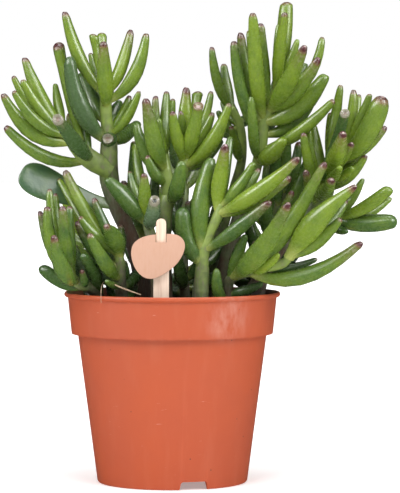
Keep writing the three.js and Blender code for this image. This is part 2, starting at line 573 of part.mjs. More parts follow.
// A tube that swells from its foot and narrows to a tip that is cut aslant on its upper side.
function leafSolid(leaf, gap) {
  const { curve, under } = spineOf(leaf);
  const slim = leaf.width < slimWidth;
  const half = (leaf.width / 2) * leafGirth * (slim ? slimGrowth : facetGrowth);
  const profile = slim ? slimSwell : leafSwell;
  const rings = profile.map(([t, swell], i) => {
    const middle = curve.getPoint(t);
    const along = curve.getTangent(t);
    const upper = square(under, along).negate();
    const side = upper.clone().cross(along);
    const wide = half * swell + gap;
    const ring = ringOf(middle, side, upper, wide, wide * leafFlatness, slim ? slimSides : leafSides);
    if (i + 1 < profile.length) return ring;
    const above = (point) => point.clone().sub(middle).dot(upper);
    return ring.map((point) => point.addScaledVector(along, -tipSlope * above(point)));
  });
  const end = curve.getPoint(1).addScaledVector(curve.getTangent(1), gap);
  return skinSolid(rings, end.addScaledVector(under, tipSag * leaf.width));
}

function makeShoot({ stem, leaves }) {
  const core = makeStem(stem);
  return {
    core,
    leaves: leaves.map(([place, across, depth, height, width, bow]) => {
      const home = new THREE.Vector3(across, depth, height);
      return { foot: core.curve.getPoint(place), home, place: home.clone(), width, bow, core };
    }),
  };
}

// Balls along a leaf, each with its share of a move of the tip.
function leafBalls(leaf) {
  const { curve } = spineOf(leaf);
  return bendStations.map((t) => ({
    at: curve.getPoint(t),
    share: t,
    radius: (leaf.width / 2) * leafGirth * between(leafSwell, t),
  }));
}

function stemBalls(stem) {
  const count = Math.ceil(stem.curve.getLength() / ballSpacing);
  return Array.from({ length: count + 1 }, (_, i) => ({
    at: stem.curve.getPoint(i / count),
    radius: stem.radiusAt(i / count),
  }));
}

// How far a ball has to move to be clear of the pot's lip, the soil and the label.
function clearOfHolder({ at, radius }, move) {
  const reach = Math.hypot(at.x, at.y);
  const rest = reach > restRadius ? potHeight : soilTop;
  if (reach < lipRadius + radius) move.z += Math.max(0, rest + bendClearance + radius - at.z);
  const overTag = Math.abs(at.x - tagRoomMiddle) < tagRoomHalf + radius && at.z < tagRoomTop + radius;
  const overStake = Math.abs(at.x - stakeMiddle) < stakeWidth / 2 + radius && at.z < stakeTop + radius;
  if (overTag || overStake) move.y += Math.max(0, labelBack + bendClearance + radius - at.y);
}

// Adds the move that takes a ball off another, and its opposite to the other one's leaf where it has one.
function pushApart(ball, other, move, otherMove) {
  const away = ball.at.clone().sub(other.at);
  const distance = Math.max(away.length(), 0.01);
  const depthOfCross = ball.radius + other.radius + bendClearance - distance;
  if (depthOfCross <= 0) return;
  away.divideScalar(distance);
  const turn = away.y < 0 ? -1 : 1;
  away.set(away.x * bendSideways, away.y + turn * bendInDepth, away.z * bendSideways);
  away.multiplyScalar(otherMove ? depthOfCross / 2 : depthOfCross);
  move.addScaledVector(away, 1 / ball.share);
  if (otherMove) otherMove.addScaledVector(away, -1 / other.share);
}

function bendApart(leaves, fixedBalls) {
  for (let pass = 0; pass < bendPasses; pass++) {
    for (const leaf of leaves) {
      leaf.tip = seen(...leaf.place);
      leaf.balls = leafBalls(leaf);
      leaf.move = new THREE.Vector3();
      leaf.reach = leaf.tip.distanceTo(leaf.foot) / 2 + leaf.width;
      leaf.middle = leaf.tip.clone().lerp(leaf.foot, 0.5);
    }
    leaves.forEach((leaf, i) => {
      for (const other of leaves.slice(i + 1)) {
        if (leaf.middle.distanceTo(other.middle) > leaf.reach + other.reach) continue;
        const together = leaf.core === other.core;
        for (const ball of leaf.balls) {
          for (const otherBall of other.balls) {
            if (together && Math.min(ball.share, otherBall.share) < rootedPart) continue;
            pushApart(ball, otherBall, leaf.move, other.move);
          }
        }
      }
      for (const fixed of fixedBalls) {
        if (leaf.middle.distanceTo(fixed.at) > leaf.reach + fixed.radius) continue;
        for (const ball of leaf.balls) {
          if (fixed.core === leaf.core && ball.share < rootedPart) continue;
          pushApart(ball, fixed, leaf.move);
        }
      }
      for (const ball of leaf.balls) clearOfHolder(ball, leaf.move);
    });
    for (const leaf of leaves) {
      leaf.place.add(leaf.move.clampLength(0, bendStep));
      leaf.place.x += (leaf.home.x - leaf.place.x) * pullSideways;
      leaf.place.y += (leaf.home.y - leaf.place.y) * pullInDepth;
      leaf.place.z += (leaf.home.z - leaf.place.z) * pullSideways;
    }
  }
  for (const leaf of leaves) leaf.tip = seen(...leaf.place);
}

function shootSolid({ core, leaves }, gap) {
  return leaves.reduce((solid, leaf) => solid.add(leafSolid(leaf, gap)), stemSolid(core, gap));
}

// The broad leaf is a flat blade, widest near its tip.
function broadLeafSolid() {
  const curve = new THREE.QuadraticBezierCurve3(
    seen(...broadLeaf.foot), seen(...broadLeaf.middle), seen(...broadLeaf.tip));
  const rings = broadSwell.map(([t, swell]) => {
    const along = curve.getTangent(t);
    const across = square(new THREE.Vector3(...broadLeaf.rise), along);
    const face = along.clone().cross(across);
    const halfWidth = (broadLeaf.width / 2) * swell;
    const halfThickness = (broadLeaf.thickness / 2) * (t < 1 ? 0.7 + swell * 0.3 : 0.5);
    return ringOf(curve.getPoint(t), across, face, halfWidth, halfThickness, broadLeaf.sides);
  });
  return skinSolid(rings, curve.getPoint(1).addScaledVector(curve.getTangent(1), broadTipRound));
}

// The model

const stems = Object.fromEntries(Object.entries(trunks).map(([name, points]) => [name, makeStem(points)]));
const grown = Object.fromEntries(Object.entries(shoots).map(([name, shoot]) => [name, makeShoot(shoot)]));
const allStems = [...Object.values(stems), ...Object.values(grown).map(({ core }) => core)];
const allLeaves = Object.values(grown).flatMap(({ leaves }) => leaves);
bendApart(allLeaves, allStems.flatMap((core) => stemBalls(core).map((ball) => ({ ...ball, core }))));

const group = new THREE.Group();
const stemRooms = allStems.map((stem) => stemSolid(stem, seatGap));
group.add(meshOf("pot", makePot(), looks.pot));
group.add(meshOf("soil", makeSoil([makeStake(seatGap), ...stemRooms]), looks.soil));
group.add(meshOf("label_stake", makeStake(0), looks.wood));
group.add(meshOf("label_tag", makeTag(), looks.wood));
for (const [name, stem] of Object.entries(stems)) group.add(meshOf(name, stemSolid(stem, 0), looks.bark));

// A shoot is seated on its trunk with a gap, and a leaf that still touches an earlier shoot is cut clear.
const trunkRooms = stemRooms.slice(0, Object.keys(stems).length);
const shootRooms = [];
for (const [name, shoot] of Object.entries(grown)) {
  const whole = trunkRooms.reduce((solid, trunk) => solid.subtract(trunk), shootSolid(shoot, 0));
  const clear = shootRooms
    .filter((room) => whole.intersect(room).volume() > 0)
    .reduce((solid, room) => solid.subtract(room), whole);
  group.add(meshOf(name, largestBody(clear), looks.shoot));
  shootRooms.push(shootSolid(shoot, seatGap));
}
const blade = trunkRooms.reduce((solid, trunk) => solid.subtract(trunk), broadLeafSolid());
const clearBlade = shootRooms.reduce((solid, room) => solid.subtract(room), blade);
group.add(meshOf("leaf_broad", largestBody(clearBlade), looks.broad));

export default group;
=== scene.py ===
# Potted jade with tubular leaves: pot, soil, wooden label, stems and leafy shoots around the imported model.
import math
import random

import bpy
import numpy as np
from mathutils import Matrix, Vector


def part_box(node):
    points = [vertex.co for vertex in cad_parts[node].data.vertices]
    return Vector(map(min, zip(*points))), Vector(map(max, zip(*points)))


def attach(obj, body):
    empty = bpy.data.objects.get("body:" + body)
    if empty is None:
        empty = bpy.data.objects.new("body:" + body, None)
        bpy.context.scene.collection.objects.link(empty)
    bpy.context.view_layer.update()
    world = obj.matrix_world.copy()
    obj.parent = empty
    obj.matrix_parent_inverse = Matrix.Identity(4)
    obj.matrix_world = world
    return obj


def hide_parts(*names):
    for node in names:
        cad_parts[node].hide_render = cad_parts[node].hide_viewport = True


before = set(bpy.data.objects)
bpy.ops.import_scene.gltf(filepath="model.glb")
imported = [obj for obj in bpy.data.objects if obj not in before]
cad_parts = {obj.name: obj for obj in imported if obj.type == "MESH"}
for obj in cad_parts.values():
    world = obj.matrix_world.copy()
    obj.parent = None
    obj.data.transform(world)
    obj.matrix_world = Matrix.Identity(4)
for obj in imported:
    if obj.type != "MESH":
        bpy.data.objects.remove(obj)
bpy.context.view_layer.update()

mm = 0.001
print("frame loaded with", len(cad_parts), "nodes")


# Selecting and shaping

def pick(piece, *others):  # only these are selected, the first one is active
    bpy.ops.object.select_all(action="DESELECT")
    for each in (piece, *others):
        each.select_set(True)
    bpy.context.view_layer.objects.active = piece


def selectFaces(piece, test):  # leaves the piece in edit mode with the faces that pass the test
    pick(piece)
    bpy.ops.object.mode_set(mode="EDIT")
    bpy.ops.mesh.select_mode(type="FACE")
    bpy.ops.mesh.select_all(action="DESELECT")
    bpy.ops.object.mode_set(mode="OBJECT")
    for face in piece.data.polygons:
        face.select = test(face)
    bpy.ops.object.mode_set(mode="EDIT")


def raiseTop(width, height, rings):  # extrudes the selected face up from ring to ring of (width, height)
    for newWidth, newHeight in rings:
        bpy.ops.mesh.extrude_region_move(TRANSFORM_OT_translate={"value": (0, 0, newHeight - height)})
        share = newWidth / width
        bpy.ops.transform.resize(value=(share, share, 1), center_override=(0, 0, newHeight))
        width, height = newWidth, newHeight


def applyModifier(piece, kind, **settings):
    pick(piece)
    modifier = piece.modifiers.new(kind.title(), kind)
    for setting, value in settings.items():
        setattr(modifier, setting, value)
    bpy.ops.object.modifier_apply(modifier=modifier.name)


def startTube(sides, width, height):  # an upright cylinder that stands at the origin
    bpy.ops.object.select_all(action="DESELECT")
    bpy.ops.mesh.primitive_cylinder_add(
        vertices=sides, radius=width, depth=height, location=(0, 0, height / 2), end_fill_type="NGON")
    tube = bpy.context.object
    bpy.ops.object.transform_apply(location=True)
    return tube


def selectTop(piece):
    selectFaces(piece, lambda face: face.normal.z > 0.9)


def curveToMesh(name, curve):
    piece = bpy.data.objects.new(name, curve)
    bpy.context.collection.objects.link(piece)
    pick(piece)
    bpy.ops.object.convert(target="MESH")
    return bpy.context.object


def turnProfile(profile, steps):  # spins (radius, height) points in mm about the pot's axis
    bpy.ops.object.select_all(action="DESELECT")
    radius, height = profile[0]
    bpy.ops.mesh.primitive_plane_add(size=mm, location=(radius * mm, 0, height * mm))
    piece = bpy.context.object
    bpy.ops.object.mode_set(mode="EDIT")
    bpy.ops.mesh.select_mode(type="VERT")
    bpy.ops.mesh.merge(type="CENTER")
    for newRadius, newHeight in profile[1:]:
        move = ((newRadius - radius) * mm, 0, (newHeight - height) * mm)
        bpy.ops.mesh.extrude_region_move(TRANSFORM_OT_translate={"value": move})
        radius, height = newRadius, newHeight
    bpy.ops.mesh.select_all(action="SELECT")
    bpy.ops.mesh.spin(steps=steps, angle=2 * math.pi, center=(0, 0, 0), axis=(0, 0, 1))
    bpy.ops.mesh.select_all(action="SELECT")
    bpy.ops.mesh.remove_doubles(threshold=0.01 * mm)
    bpy.ops.mesh.normals_make_consistent(inside=False)
    bpy.ops.object.mode_set(mode="OBJECT")
    return piece


def finishPiece(piece, name, material, nodes, sharpAngle):
    piece.name = piece.data.name = name
    pick(piece)
    bpy.ops.object.transform_apply(location=True, rotation=True, scale=True)
    if sharpAngle:
        bpy.ops.object.shade_smooth_by_angle(angle=math.radians(sharpAngle))
    if material:
        piece.data.materials.clear()
        piece.data.materials.append(material)
    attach(piece, "root")
    if nodes:
        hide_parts(*nodes)


# Materials

def newMaterial(name, **settings):  # settings are sockets, with _ for each space in the name
    material = bpy.data.materials.new(name)
    material.use_nodes = True
    shader = material.node_tree.nodes["Principled BSDF"]
    for socket, value in settings.items():
        shader.inputs[socket.replace("_", " ")].default_value = value
    return material, material.node_tree, shader


def addNode(tree, kind, sockets=None, **settings):  # a socket takes a value or another node's output
    made = tree.nodes.new("ShaderNode" + kind)
    for setting, value in settings.items():
        setattr(made, setting, value)
    for socket, value in (sockets or {}).items():
        if isinstance(value, bpy.types.NodeSocket):
            tree.links.new(value, made.inputs[socket])
        else:
            made.inputs[socket].default_value = value
    return made


def mixColour(tree, share, first, second):  # a colour is a tuple or another node's output
    sockets = {0: share, 6: first, 7: second}
    for place in (6, 7):
        if isinstance(sockets[place], tuple):
            sockets[place] = (*sockets[place], 1)
    return addNode(tree, "Mix", sockets, data_type="RGBA").outputs[2]


def combine(tree, operation, first, second):
    return addNode(tree, "Math", {0: first, 1: second}, operation=operation).outputs[0]


def measured(tree, operation, first, second):  # one number from two vectors
    return addNode(tree, "VectorMath", {0: first, 1: second}, operation=operation).outputs["Value"]


def rangeOf(tree, value, low, high, bottom=0.0, top=1.0, steps="LINEAR"):  # maps low..high to bottom..top
    sockets = {"Value": value, "From Min": low, "From Max": high, "To Min": bottom, "To Max": top}
    return addNode(tree, "MapRange", sockets, interpolation_type=steps).outputs[0]


def varied(tree, value, noise, amount):  # a value that wavers with a noise
    return combine(tree, "ADD", value, rangeOf(tree, noise, 0.3, 0.7, -amount, amount))


def tinted(tree, colour, tint, value, low, high, bottom=0.0, top=1.0, steps="LINEAR"):  # tint by rangeOf
    return mixColour(tree, rangeOf(tree, value, low, high, bottom, top, steps), colour, tint)


def objectPlace(tree, scale=(1, 1, 1)):
    place = addNode(tree, "TexCoord").outputs["Object"]
    return addNode(tree, "Mapping", {"Vector": place, "Scale": scale}).outputs[0]


def noiseOf(tree, place, scale, detail=3.0, roughness=0.55):
    sockets = {"Vector": place, "Scale": scale, "Detail": detail, "Roughness": roughness}
    return addNode(tree, "TexNoise", sockets).outputs[0]


def cellsOf(tree, place, scale):
    return addNode(tree, "TexVoronoi", {"Vector": place, "Scale": scale}).outputs[0]


def bumpOn(tree, height, depth, strength=1.0, below=None):
    sockets = {"Height": height, "Distance": depth, "Strength": strength}
    if below:
        sockets["Normal"] = below
    return addNode(tree, "Bump", sockets).outputs[0]


# Pot

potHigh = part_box("pot")[1].z / mm
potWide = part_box("pot")[1].x / mm
pot = {
    "wall": 1.2, "lipHeight": 2.5, "collarTop": potWide - 2, "collarFoot": potWide - 4.1, "ledge": 82.5,
    "bodyTop": 52.65, "bodyFoot": 41.8, "floor": 4.4, "floorThickness": 1.4, "pad": 10, "steps": 128,
    "notches": 3, "notchTurn": -73, "notchWidth": 15, "notchDepth": 7, "notchRounding": 1.5,
    "notchFlare": 1.12, "drain": 3.2, "drainPlace": 31, "drainDepth": 6, "rounding": 0.4,
}
potLook = {
    "colour": (0.49, 0.086, 0.027), "dusty": (0.53, 0.135, 0.062), "deep": (0.40, 0.06, 0.02),
    # The soil colour and its share darken the inner wall: soil stains and painted shade.
    "scuffAndSheen": (0.86, 0.62, 0.52), "speck": (0.10, 0.035, 0.02), "soil": (0.06, 0.025, 0.014), "soiledAndShaded": 0.85,
    "paintedSheenAt": (0.031, -0.048, 0.094),  # in metres, on the collar: the middle of a painted sheen of pale smears
}


def potMaterial():
    material, tree, shader = newMaterial("satinPotPlastic", Roughness=0.42, IOR=1.47)
    place = objectPlace(tree)
    cloud = noiseOf(tree, place, 22, 4)
    flow = noiseOf(tree, objectPlace(tree, (1, 1, 0.12)), 160, 3)  # faint upright streaks from the mould
    colour = tinted(tree, potLook["colour"], potLook["deep"], cloud, 0.35, 0.7, 0, 0.3)
    colour = tinted(tree, colour, potLook["dusty"], flow, 0.52, 0.75, 0, 0.22)
    grain = noiseOf(tree, place, 900, 2)
    scratch = noiseOf(tree, objectPlace(tree, (0.25, 0.25, 3)), 330, 4, 0.7)
    colour = tinted(tree, colour, potLook["scuffAndSheen"], scratch, 0.69, 0.76, 0, 0.45)
    # Painted sheen: pale smears in the scuff colour on the collar's front right.
    away = measured(tree, "DISTANCE", place, potLook["paintedSheenAt"])
    smears = rangeOf(tree, noiseOf(tree, objectPlace(tree, (1, 1, 0.45)), 210, 5, 0.6), 0.36, 0.74)
    paintedSheen = combine(tree, "MULTIPLY", rangeOf(tree, away, 0.004, 0.019, 0.24, 0, "SMOOTHSTEP"), smears)
    colour = mixColour(tree, paintedSheen, colour, potLook["scuffAndSheen"])
    colour = tinted(tree, colour, potLook["speck"], cellsOf(tree, place, 95), 0.05, 0.03, 0, 0.75)
    # Painted shade with soil stains: the inner wall turns towards the soil colour.
    facing = addNode(tree, "NewGeometry").outputs["Normal"]
    outward = measured(tree, "DOT_PRODUCT", facing, objectPlace(tree, (1, 1, 0)))
    colour = tinted(tree, colour, potLook["soil"], outward, -0.02, -0.04, 0, potLook["soiledAndShaded"])  # inside
    tree.links.new(colour, shader.inputs["Base Color"])
    tree.links.new(rangeOf(tree, cloud, 0.3, 0.7, 0.36, 0.5), shader.inputs["Roughness"])
    bump = bumpOn(tree, flow, 0.25 * mm, 0.25)
    tree.links.new(bumpOn(tree, grain, 0.05 * mm, 0.5, bump), shader.inputs["Normal"])
    return material


def potProfile():  # (radius, height) from the middle of the base, up the outside and down the inside
    wall, lip = pot["wall"], potHigh - pot["lipHeight"]
    ledge, floor = pot["ledge"], pot["floor"]
    innerFloor = floor + pot["floorThickness"]
    innerFoot = pot["bodyFoot"] - wall + (pot["bodyTop"] - pot["bodyFoot"]) * innerFloor / ledge
    return [
        (0, 0), (pot["pad"], 0), (pot["pad"] + 1, floor), (pot["bodyFoot"] - 3, floor),
        (pot["bodyFoot"] - 2, 0), (pot["bodyFoot"] - 0.6, 0), (pot["bodyFoot"], 0.8),
        (pot["bodyTop"] - 0.3, ledge - 1.5), (pot["bodyTop"], ledge), (pot["collarFoot"], ledge),
        (pot["collarFoot"] + 0.25, ledge + 1.5), (pot["collarTop"] - 0.1, lip - 2),
        (pot["collarTop"], lip - 0.4), (potWide - 0.6, lip + 0.1), (potWide, lip + 0.8),
        (potWide, potHigh - 0.6), (potWide - 0.5, potHigh), (potWide - wall, potHigh),
        (pot["collarTop"] - wall, lip - 0.5), (pot["collarFoot"] - wall, ledge + wall),
        (pot["bodyTop"] - wall, ledge + wall), (innerFoot, innerFloor), (0, innerFloor),
    ]


def notchCutter(turn):  # a block with rounded edges that spreads towards the ground
    bpy.ops.object.select_all(action="DESELECT")
    bpy.ops.mesh.primitive_cube_add(size=mm, location=(0, 0, 0))
    cutter = bpy.context.object
    bpy.ops.object.mode_set(mode="EDIT")
    bpy.ops.mesh.select_all(action="SELECT")
    size = (pot["notchDepth"], pot["notchWidth"], 2 * pot["floor"])
    bpy.ops.transform.resize(value=size, center_override=(0, 0, 0))
    bpy.ops.mesh.bevel(offset=pot["notchRounding"] * mm, segments=4, affect="EDGES")
    bpy.ops.object.mode_set(mode="OBJECT")
    selectFaces(cutter, lambda face: face.center.z < -pot["floor"] * 0.4 * mm)
    bpy.ops.transform.resize(value=(1, pot["notchFlare"], 1), center_override=(0, 0, 0))
    bpy.ops.mesh.select_all(action="SELECT")
    reach = (pot["bodyFoot"] - 1) * mm
    middle = (reach * math.cos(turn), reach * math.sin(turn), 0)
    bpy.ops.transform.translate(value=middle)
    bpy.ops.transform.rotate(value=-turn, orient_axis="Z", center_override=middle)
    bpy.ops.object.mode_set(mode="OBJECT")
    return cutter


def drainCutter(turn):  # a round hole through the floor
    bpy.ops.object.select_all(action="DESELECT")
    reach, height = pot["drainPlace"] * mm, (pot["floor"] + pot["floorThickness"] / 2) * mm
    middle = (reach * math.cos(turn), reach * math.sin(turn), height)
    radius, depth = pot["drain"] * mm, pot["drainDepth"] * mm
    bpy.ops.mesh.primitive_cylinder_add(vertices=24, radius=radius, depth=depth, location=middle)
    return bpy.context.object


def makePot():
    piece = turnProfile(potProfile(), pot["steps"])
    for number in range(pot["notches"]):
        turn = math.radians(pot["notchTurn"] + number * 360 / pot["notches"])
        for cutter in (notchCutter(turn), drainCutter(turn)):
            applyModifier(piece, "BOOLEAN", operation="DIFFERENCE", solver="EXACT", object=cutter)
            bpy.data.objects.remove(cutter)
    applyModifier(
        piece, "BEVEL", width=pot["rounding"] * mm, segments=2, limit_method="ANGLE",
        angle_limit=math.radians(32), harden_normals=False)
    finishPiece(piece, "pot_moulded", potMaterial(), ["pot"], 35)


makePot()
print("pot made")

# Soil

soil = {
    "top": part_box("soil")[1].z / mm, "foot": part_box("soil")[0].z / mm, "gap": 0.3, "footSpare": 0.7,
    "sunk": 1.6,  # how far the surface lies under the solid's, where crumbs and lumps stand out
    "rings": 15, "steps": 96, "lumps": 3.2, "lumpSize": 7, "crumbs": 520, "crumbSize": (0.7, 2.3),
    "crumbLength": (0.8, 1.3), "crumbHeight": (0.5, 0.9), "crumbLevel": (-0.2, 0.9), "crumbTilt": 0.5,
    "crumbEdge": 2.5, "barkShare": 0.08, "barkLength": 2.6, "seed": 11,
}
soilLook = {"dark": (0.018, 0.011, 0.007), "brown": (0.075, 0.042, 0.022), "pale": (0.30, 0.22, 0.14)}


def soilMaterial():
    material, tree, shader = newMaterial("moistPottingMix", Roughness=0.9)
    place = objectPlace(tree)
    clump = noiseOf(tree, place, 260, 5, 0.7)
    flecks = noiseOf(tree, place, 1400, 2)
    colour = tinted(tree, soilLook["dark"], soilLook["brown"], clump, 0.35, 0.7)
    colour = tinted(tree, colour, soilLook["pale"], flecks, 0.66, 0.72, 0, 0.6)
    tree.links.new(colour, shader.inputs["Base Color"])
    tree.links.new(bumpOn(tree, clump, 1.2 * mm, 0.9), shader.inputs["Normal"])
    return material


def makeCrumb():  # one rough crumb, a millimetre across
    bpy.ops.object.select_all(action="DESELECT")
    bpy.ops.mesh.primitive_ico_sphere_add(subdivisions=1, radius=0.5 * mm)
    crumb = bpy.context.object
    bpy.ops.object.mode_set(mode="EDIT")
    bpy.ops.transform.vertex_random(offset=0.16 * mm, uniform=0.7, seed=soil["seed"])
    bpy.ops.object.mode_set(mode="OBJECT")
    return crumb


def scatterCrumbs(reachMost):  # over the surface, some of them long chips of bark
    crumb = makeCrumb()
    chance = random.Random(soil["seed"])
    crumbs = []
    for _ in range(soil["crumbs"]):
        reach = reachMost * math.sqrt(chance.random()) * mm
        turn = chance.uniform(0, 2 * math.pi)
        size = chance.uniform(*soil["crumbSize"])
        copy = crumb.copy()
        copy.data = crumb.data.copy()
        bark = chance.random() < soil["barkShare"]
        long = soil["barkLength"] if bark else chance.uniform(*soil["crumbLength"])
        copy.scale = (size * long, size, size * chance.uniform(*soil["crumbHeight"]))
        tilts = [chance.uniform(-soil["crumbTilt"], soil["crumbTilt"]) for _ in range(2)]
        copy.rotation_euler = [*tilts, chance.uniform(0, 6)]
        level = soil["top"] - soil["sunk"] + chance.uniform(*soil["crumbLevel"])
        copy.location = (reach * math.cos(turn), reach * math.sin(turn), level * mm)
        bpy.context.collection.objects.link(copy)
        crumbs.append(copy)
    bpy.data.objects.remove(crumb)
    return crumbs


def makeSoil():
    inset = pot["wall"] + soil["gap"]
    ledge, collar = pot["ledge"] + inset, pot["collarFoot"] - pot["wall"] - soil["gap"]
    outline = [
        (0, soil["foot"]), (pot["bodyFoot"] - inset + soil["footSpare"], soil["foot"]),
        (pot["bodyTop"] - inset, ledge), (collar, ledge),
    ]
    level, rings = soil["top"] - soil["sunk"], soil["rings"]
    top = [(collar * (1 - ring / rings), level) for ring in range(rings + 1)]
    piece = turnProfile(outline + top, soil["steps"])
    lumps = bpy.data.textures.new("soilLumps", "CLOUDS")
    lumps.noise_scale = soil["lumpSize"] * mm
    lumps.noise_depth = 4
    surface = piece.vertex_groups.new(name="surface")
    low, wide = (ledge + 1) * mm, (collar - 1) * mm
    raised = [vertex.index for vertex in piece.data.vertices
              if vertex.co.z > low and vertex.co.xy.length < wide]
    surface.add(raised, 1, "REPLACE")
    applyModifier(
        piece, "DISPLACE", texture=lumps, strength=soil["lumps"] * mm, mid_level=0.5, direction="Z",
        vertex_group="surface", texture_coords="LOCAL")
    pick(piece, *scatterCrumbs(collar - soil["crumbEdge"]))
    bpy.ops.object.join()
    finishPiece(piece, "soil_mix", soilMaterial(), ["soil"], 60)


makeSoil()
print("soil made")

# Label

label = {
    "stakeWidth": 8.4, "neck": 5.4, "stakeThickness": 1.1, "top": 147.3, "shoulder": 124, "foot": 64,
    "point": 8, "middle": -5.5, "depth": -46, "tagThickness": 0.9, "tilt": 9, "slotFoot": 134.5,
    "slotSpare": 0.15, "gap": 0.3, "edge": 0.16,
}
labelLook = {"stake": (0.90, 0.70, 0.55), "tag": (0.53, 0.305, 0.21), "line": (0.50, 0.27, 0.17)}


def woodMaterial(name, colour, tilt=0.0):
    material, tree, shader = newMaterial(name, Roughness=0.62)
    place = addNode(tree, "TexCoord").outputs["Object"]
    sockets = {"Vector": place, "Rotation": (tilt, 0, 0), "Scale": (1, 1, 0.045)}
    grainPlace = addNode(tree, "Mapping", sockets).outputs[0]
    grain = noiseOf(tree, grainPlace, 900, 4, 0.65)
    broad = noiseOf(tree, grainPlace, 190, 3)
    tone = tinted(tree, colour, labelLook["line"], grain, 0.45, 0.72, 0, 0.55)
    tone = tinted(tree, tone, labelLook["line"], broad, 0.5, 0.75, 0, 0.3)
    tree.links.new(tone, shader.inputs["Base Color"])
    tree.links.new(rangeOf(tree, grain, 0.4, 0.7, 0.55, 0.72), shader.inputs["Roughness"])
    tree.links.new(bumpOn(tree, grain, 0.12 * mm, 0.5), shader.inputs["Normal"])
    return material


def cutWood(outline, thickness, lean, place):  # outline of (corner, handle before, handle after), front to -Y
    curve = bpy.data.curves.new("outline", "CURVE")
    curve.dimensions = "2D"
    curve.fill_mode = "BOTH"
    curve.extrude = (thickness / 2 - label["edge"]) * mm
    curve.bevel_depth = label["edge"] * mm
    curve.bevel_resolution = 2
    curve.offset = -label["edge"] * mm
    spline = curve.splines.new("BEZIER")
    spline.bezier_points.add(len(outline) - 1)
    spline.use_cyclic_u = True
    spline.resolution_u = 10
    for point, (corner, before, after) in zip(spline.bezier_points, outline):
        point.handle_left_type = point.handle_right_type = "FREE"
        point.co = (corner[0] * mm, corner[1] * mm, 0)
        point.handle_left = (before[0] * mm, before[1] * mm, 0)
        point.handle_right = (after[0] * mm, after[1] * mm, 0)
    piece = curveToMesh("wood", curve)
    bpy.ops.object.mode_set(mode="EDIT")
    bpy.ops.mesh.select_all(action="SELECT")
    bpy.ops.mesh.remove_doubles(threshold=0.005 * mm)
    bpy.ops.mesh.normals_make_consistent(inside=False)
    bpy.ops.object.mode_set(mode="OBJECT")
    piece.rotation_euler = (lean, 0, 0)
    piece.location = [part * mm for part in place]
    return piece


def outlineOf(steps):  # a step is [corner] for a straight way there, [handle, handle, corner] for a curve
    outline = []
    for step, onward in zip(steps, steps[1:] + steps[:1]):
        corner = step[-1]
        before = step[1] if len(step) == 3 else corner
        after = onward[0] if len(onward) == 3 else corner
        outline.append((corner, before, after))
    return outline


def stakeOutline():
    half, neck = label["stakeWidth"] / 2, label["neck"] / 2
    shoulder, crown = label["shoulder"], label["top"] - label["neck"] / 2
    pull = neck * 0.552  # the handles of a quarter circle
    right = [
        [(0, label["foot"])], [(half, label["foot"] + label["point"])], [(half, shoulder - 3)],
        [(half, shoulder - 1), (neck, shoulder - 1), (neck, shoulder + 2)], [(neck, crown)],
        [(neck, crown + pull), (pull, label["top"]), (0, label["top"])],
    ]
    left = [
        [(-pull, label["top"]), (-neck, crown + pull), (-neck, crown)], [(-neck, shoulder + 2)],
        [(-neck, shoulder - 1), (-half, shoulder - 1), (-half, shoulder - 3)],
        [(-half, label["foot"] + label["point"])],
    ]
    return outlineOf(right + left)


def tagOutline():  # from the slot's foot to the left and round to it again
    slot = label["neck"] / 2 + label["slotSpare"]
    return outlineOf([
        [(-slot, 0)], [(-slot, 4.3)],
        [(-7.5, 4), (-11.5, 2.6), (-13.3, 0.8)],
        [(-15.4, -0.6), (-16.4, -3.6), (-16, -7.3)],
        [(-15.4, -13), (-11.5, -19.7), (-5.6, -19.7)],
        [(-1.5, -19.7), (5.6, -15), (8.9, -11.1)],
        [(10.9, -8.4), (12.8, -4.8), (12.8, -1.8)],
        [(12.8, 1.4), (10.4, 4), (7, 4.4)],
        [(5.8, 4.7), (4.8, 4.7), (slot, 4.6)],
        [(slot, 0)],
    ])


def makeLabel():  # the stake stands upright, the tag hangs before it at a slant
    upright = math.pi / 2
    stake = cutWood(stakeOutline(), label["stakeThickness"], upright, (label["middle"], label["depth"], 0))
    finishPiece(stake, "label_stake_wood", woodMaterial("paleStakeWood", labelLook["stake"]),
                ["label_stake"], 35)
    lean = math.radians(label["tilt"])
    front = label["depth"] - label["stakeThickness"] / 2 - label["gap"] - label["tagThickness"] / 2
    place = (label["middle"], front, label["slotFoot"])
    tag = cutWood(tagOutline(), label["tagThickness"], upright - lean, place)
    finishPiece(tag, "label_tag_wood", woodMaterial("tanTagWood", labelLook["tag"], -lean),
                ["label_tag"], 35)


makeLabel()
print("label made")

# Plant layout, in mm as it looks from the eye: across and height are read at the pot's middle plane, and
# depth is true, less towards the eye.

eye = {"distance": 1400, "across": 15.4, "height": 182}

# Woody stems: [across, depth, height, radius]
trunks = {
    "trunk_left": [
        [-14, 4, 76, 4.6], [-16, 3, 105, 4.6], [-21, 2, 130, 4.4], [-26, 1, 142, 4.4], [-31.6, 0, 155, 4.8],
        [-34.8, -1, 168, 5.4], [-35, -3, 188, 4.7],
    ],
    "trunk_middle": [
        [-4, -12, 76, 4.2], [-4, -14, 105, 4.1], [-4.5, -15, 135, 4], [-4, -15, 150, 4], [-2, -14, 158, 4.4],
    ],
    "trunk_front": [[14.5, -30, 76, 4.7], [15.5, -31, 100, 4.6], [16.6, -32, 119, 3.8]],
    "trunk_right": [
        [34, -2, 76, 4], [42, -3, 102, 4], [55, -4, 121, 3.8], [70, -4, 141, 3.5], [80, -6, 156, 3.3],
    ],
    "trunk_top_right": [
        [22, 4, 76, 4.4], [26, 5, 105, 4.3], [35, 3, 140, 4], [43, 0, 165, 3.3], [46.5, -2, 175, 2.9],
    ],
    "trunk_back_left": [[-22, 22, 76, 3.8], [-27, 32, 104, 3.6], [-33, 40, 116, 3.3]],
    "trunk_back_middle": [[4, 28, 76, 4], [4, 36, 115, 3.6], [6, 44, 148, 3.2]],
    "trunk_back_right": [[28, 22, 76, 4], [40, 32, 108, 3.6], [52, 42, 130, 3.2]],
}

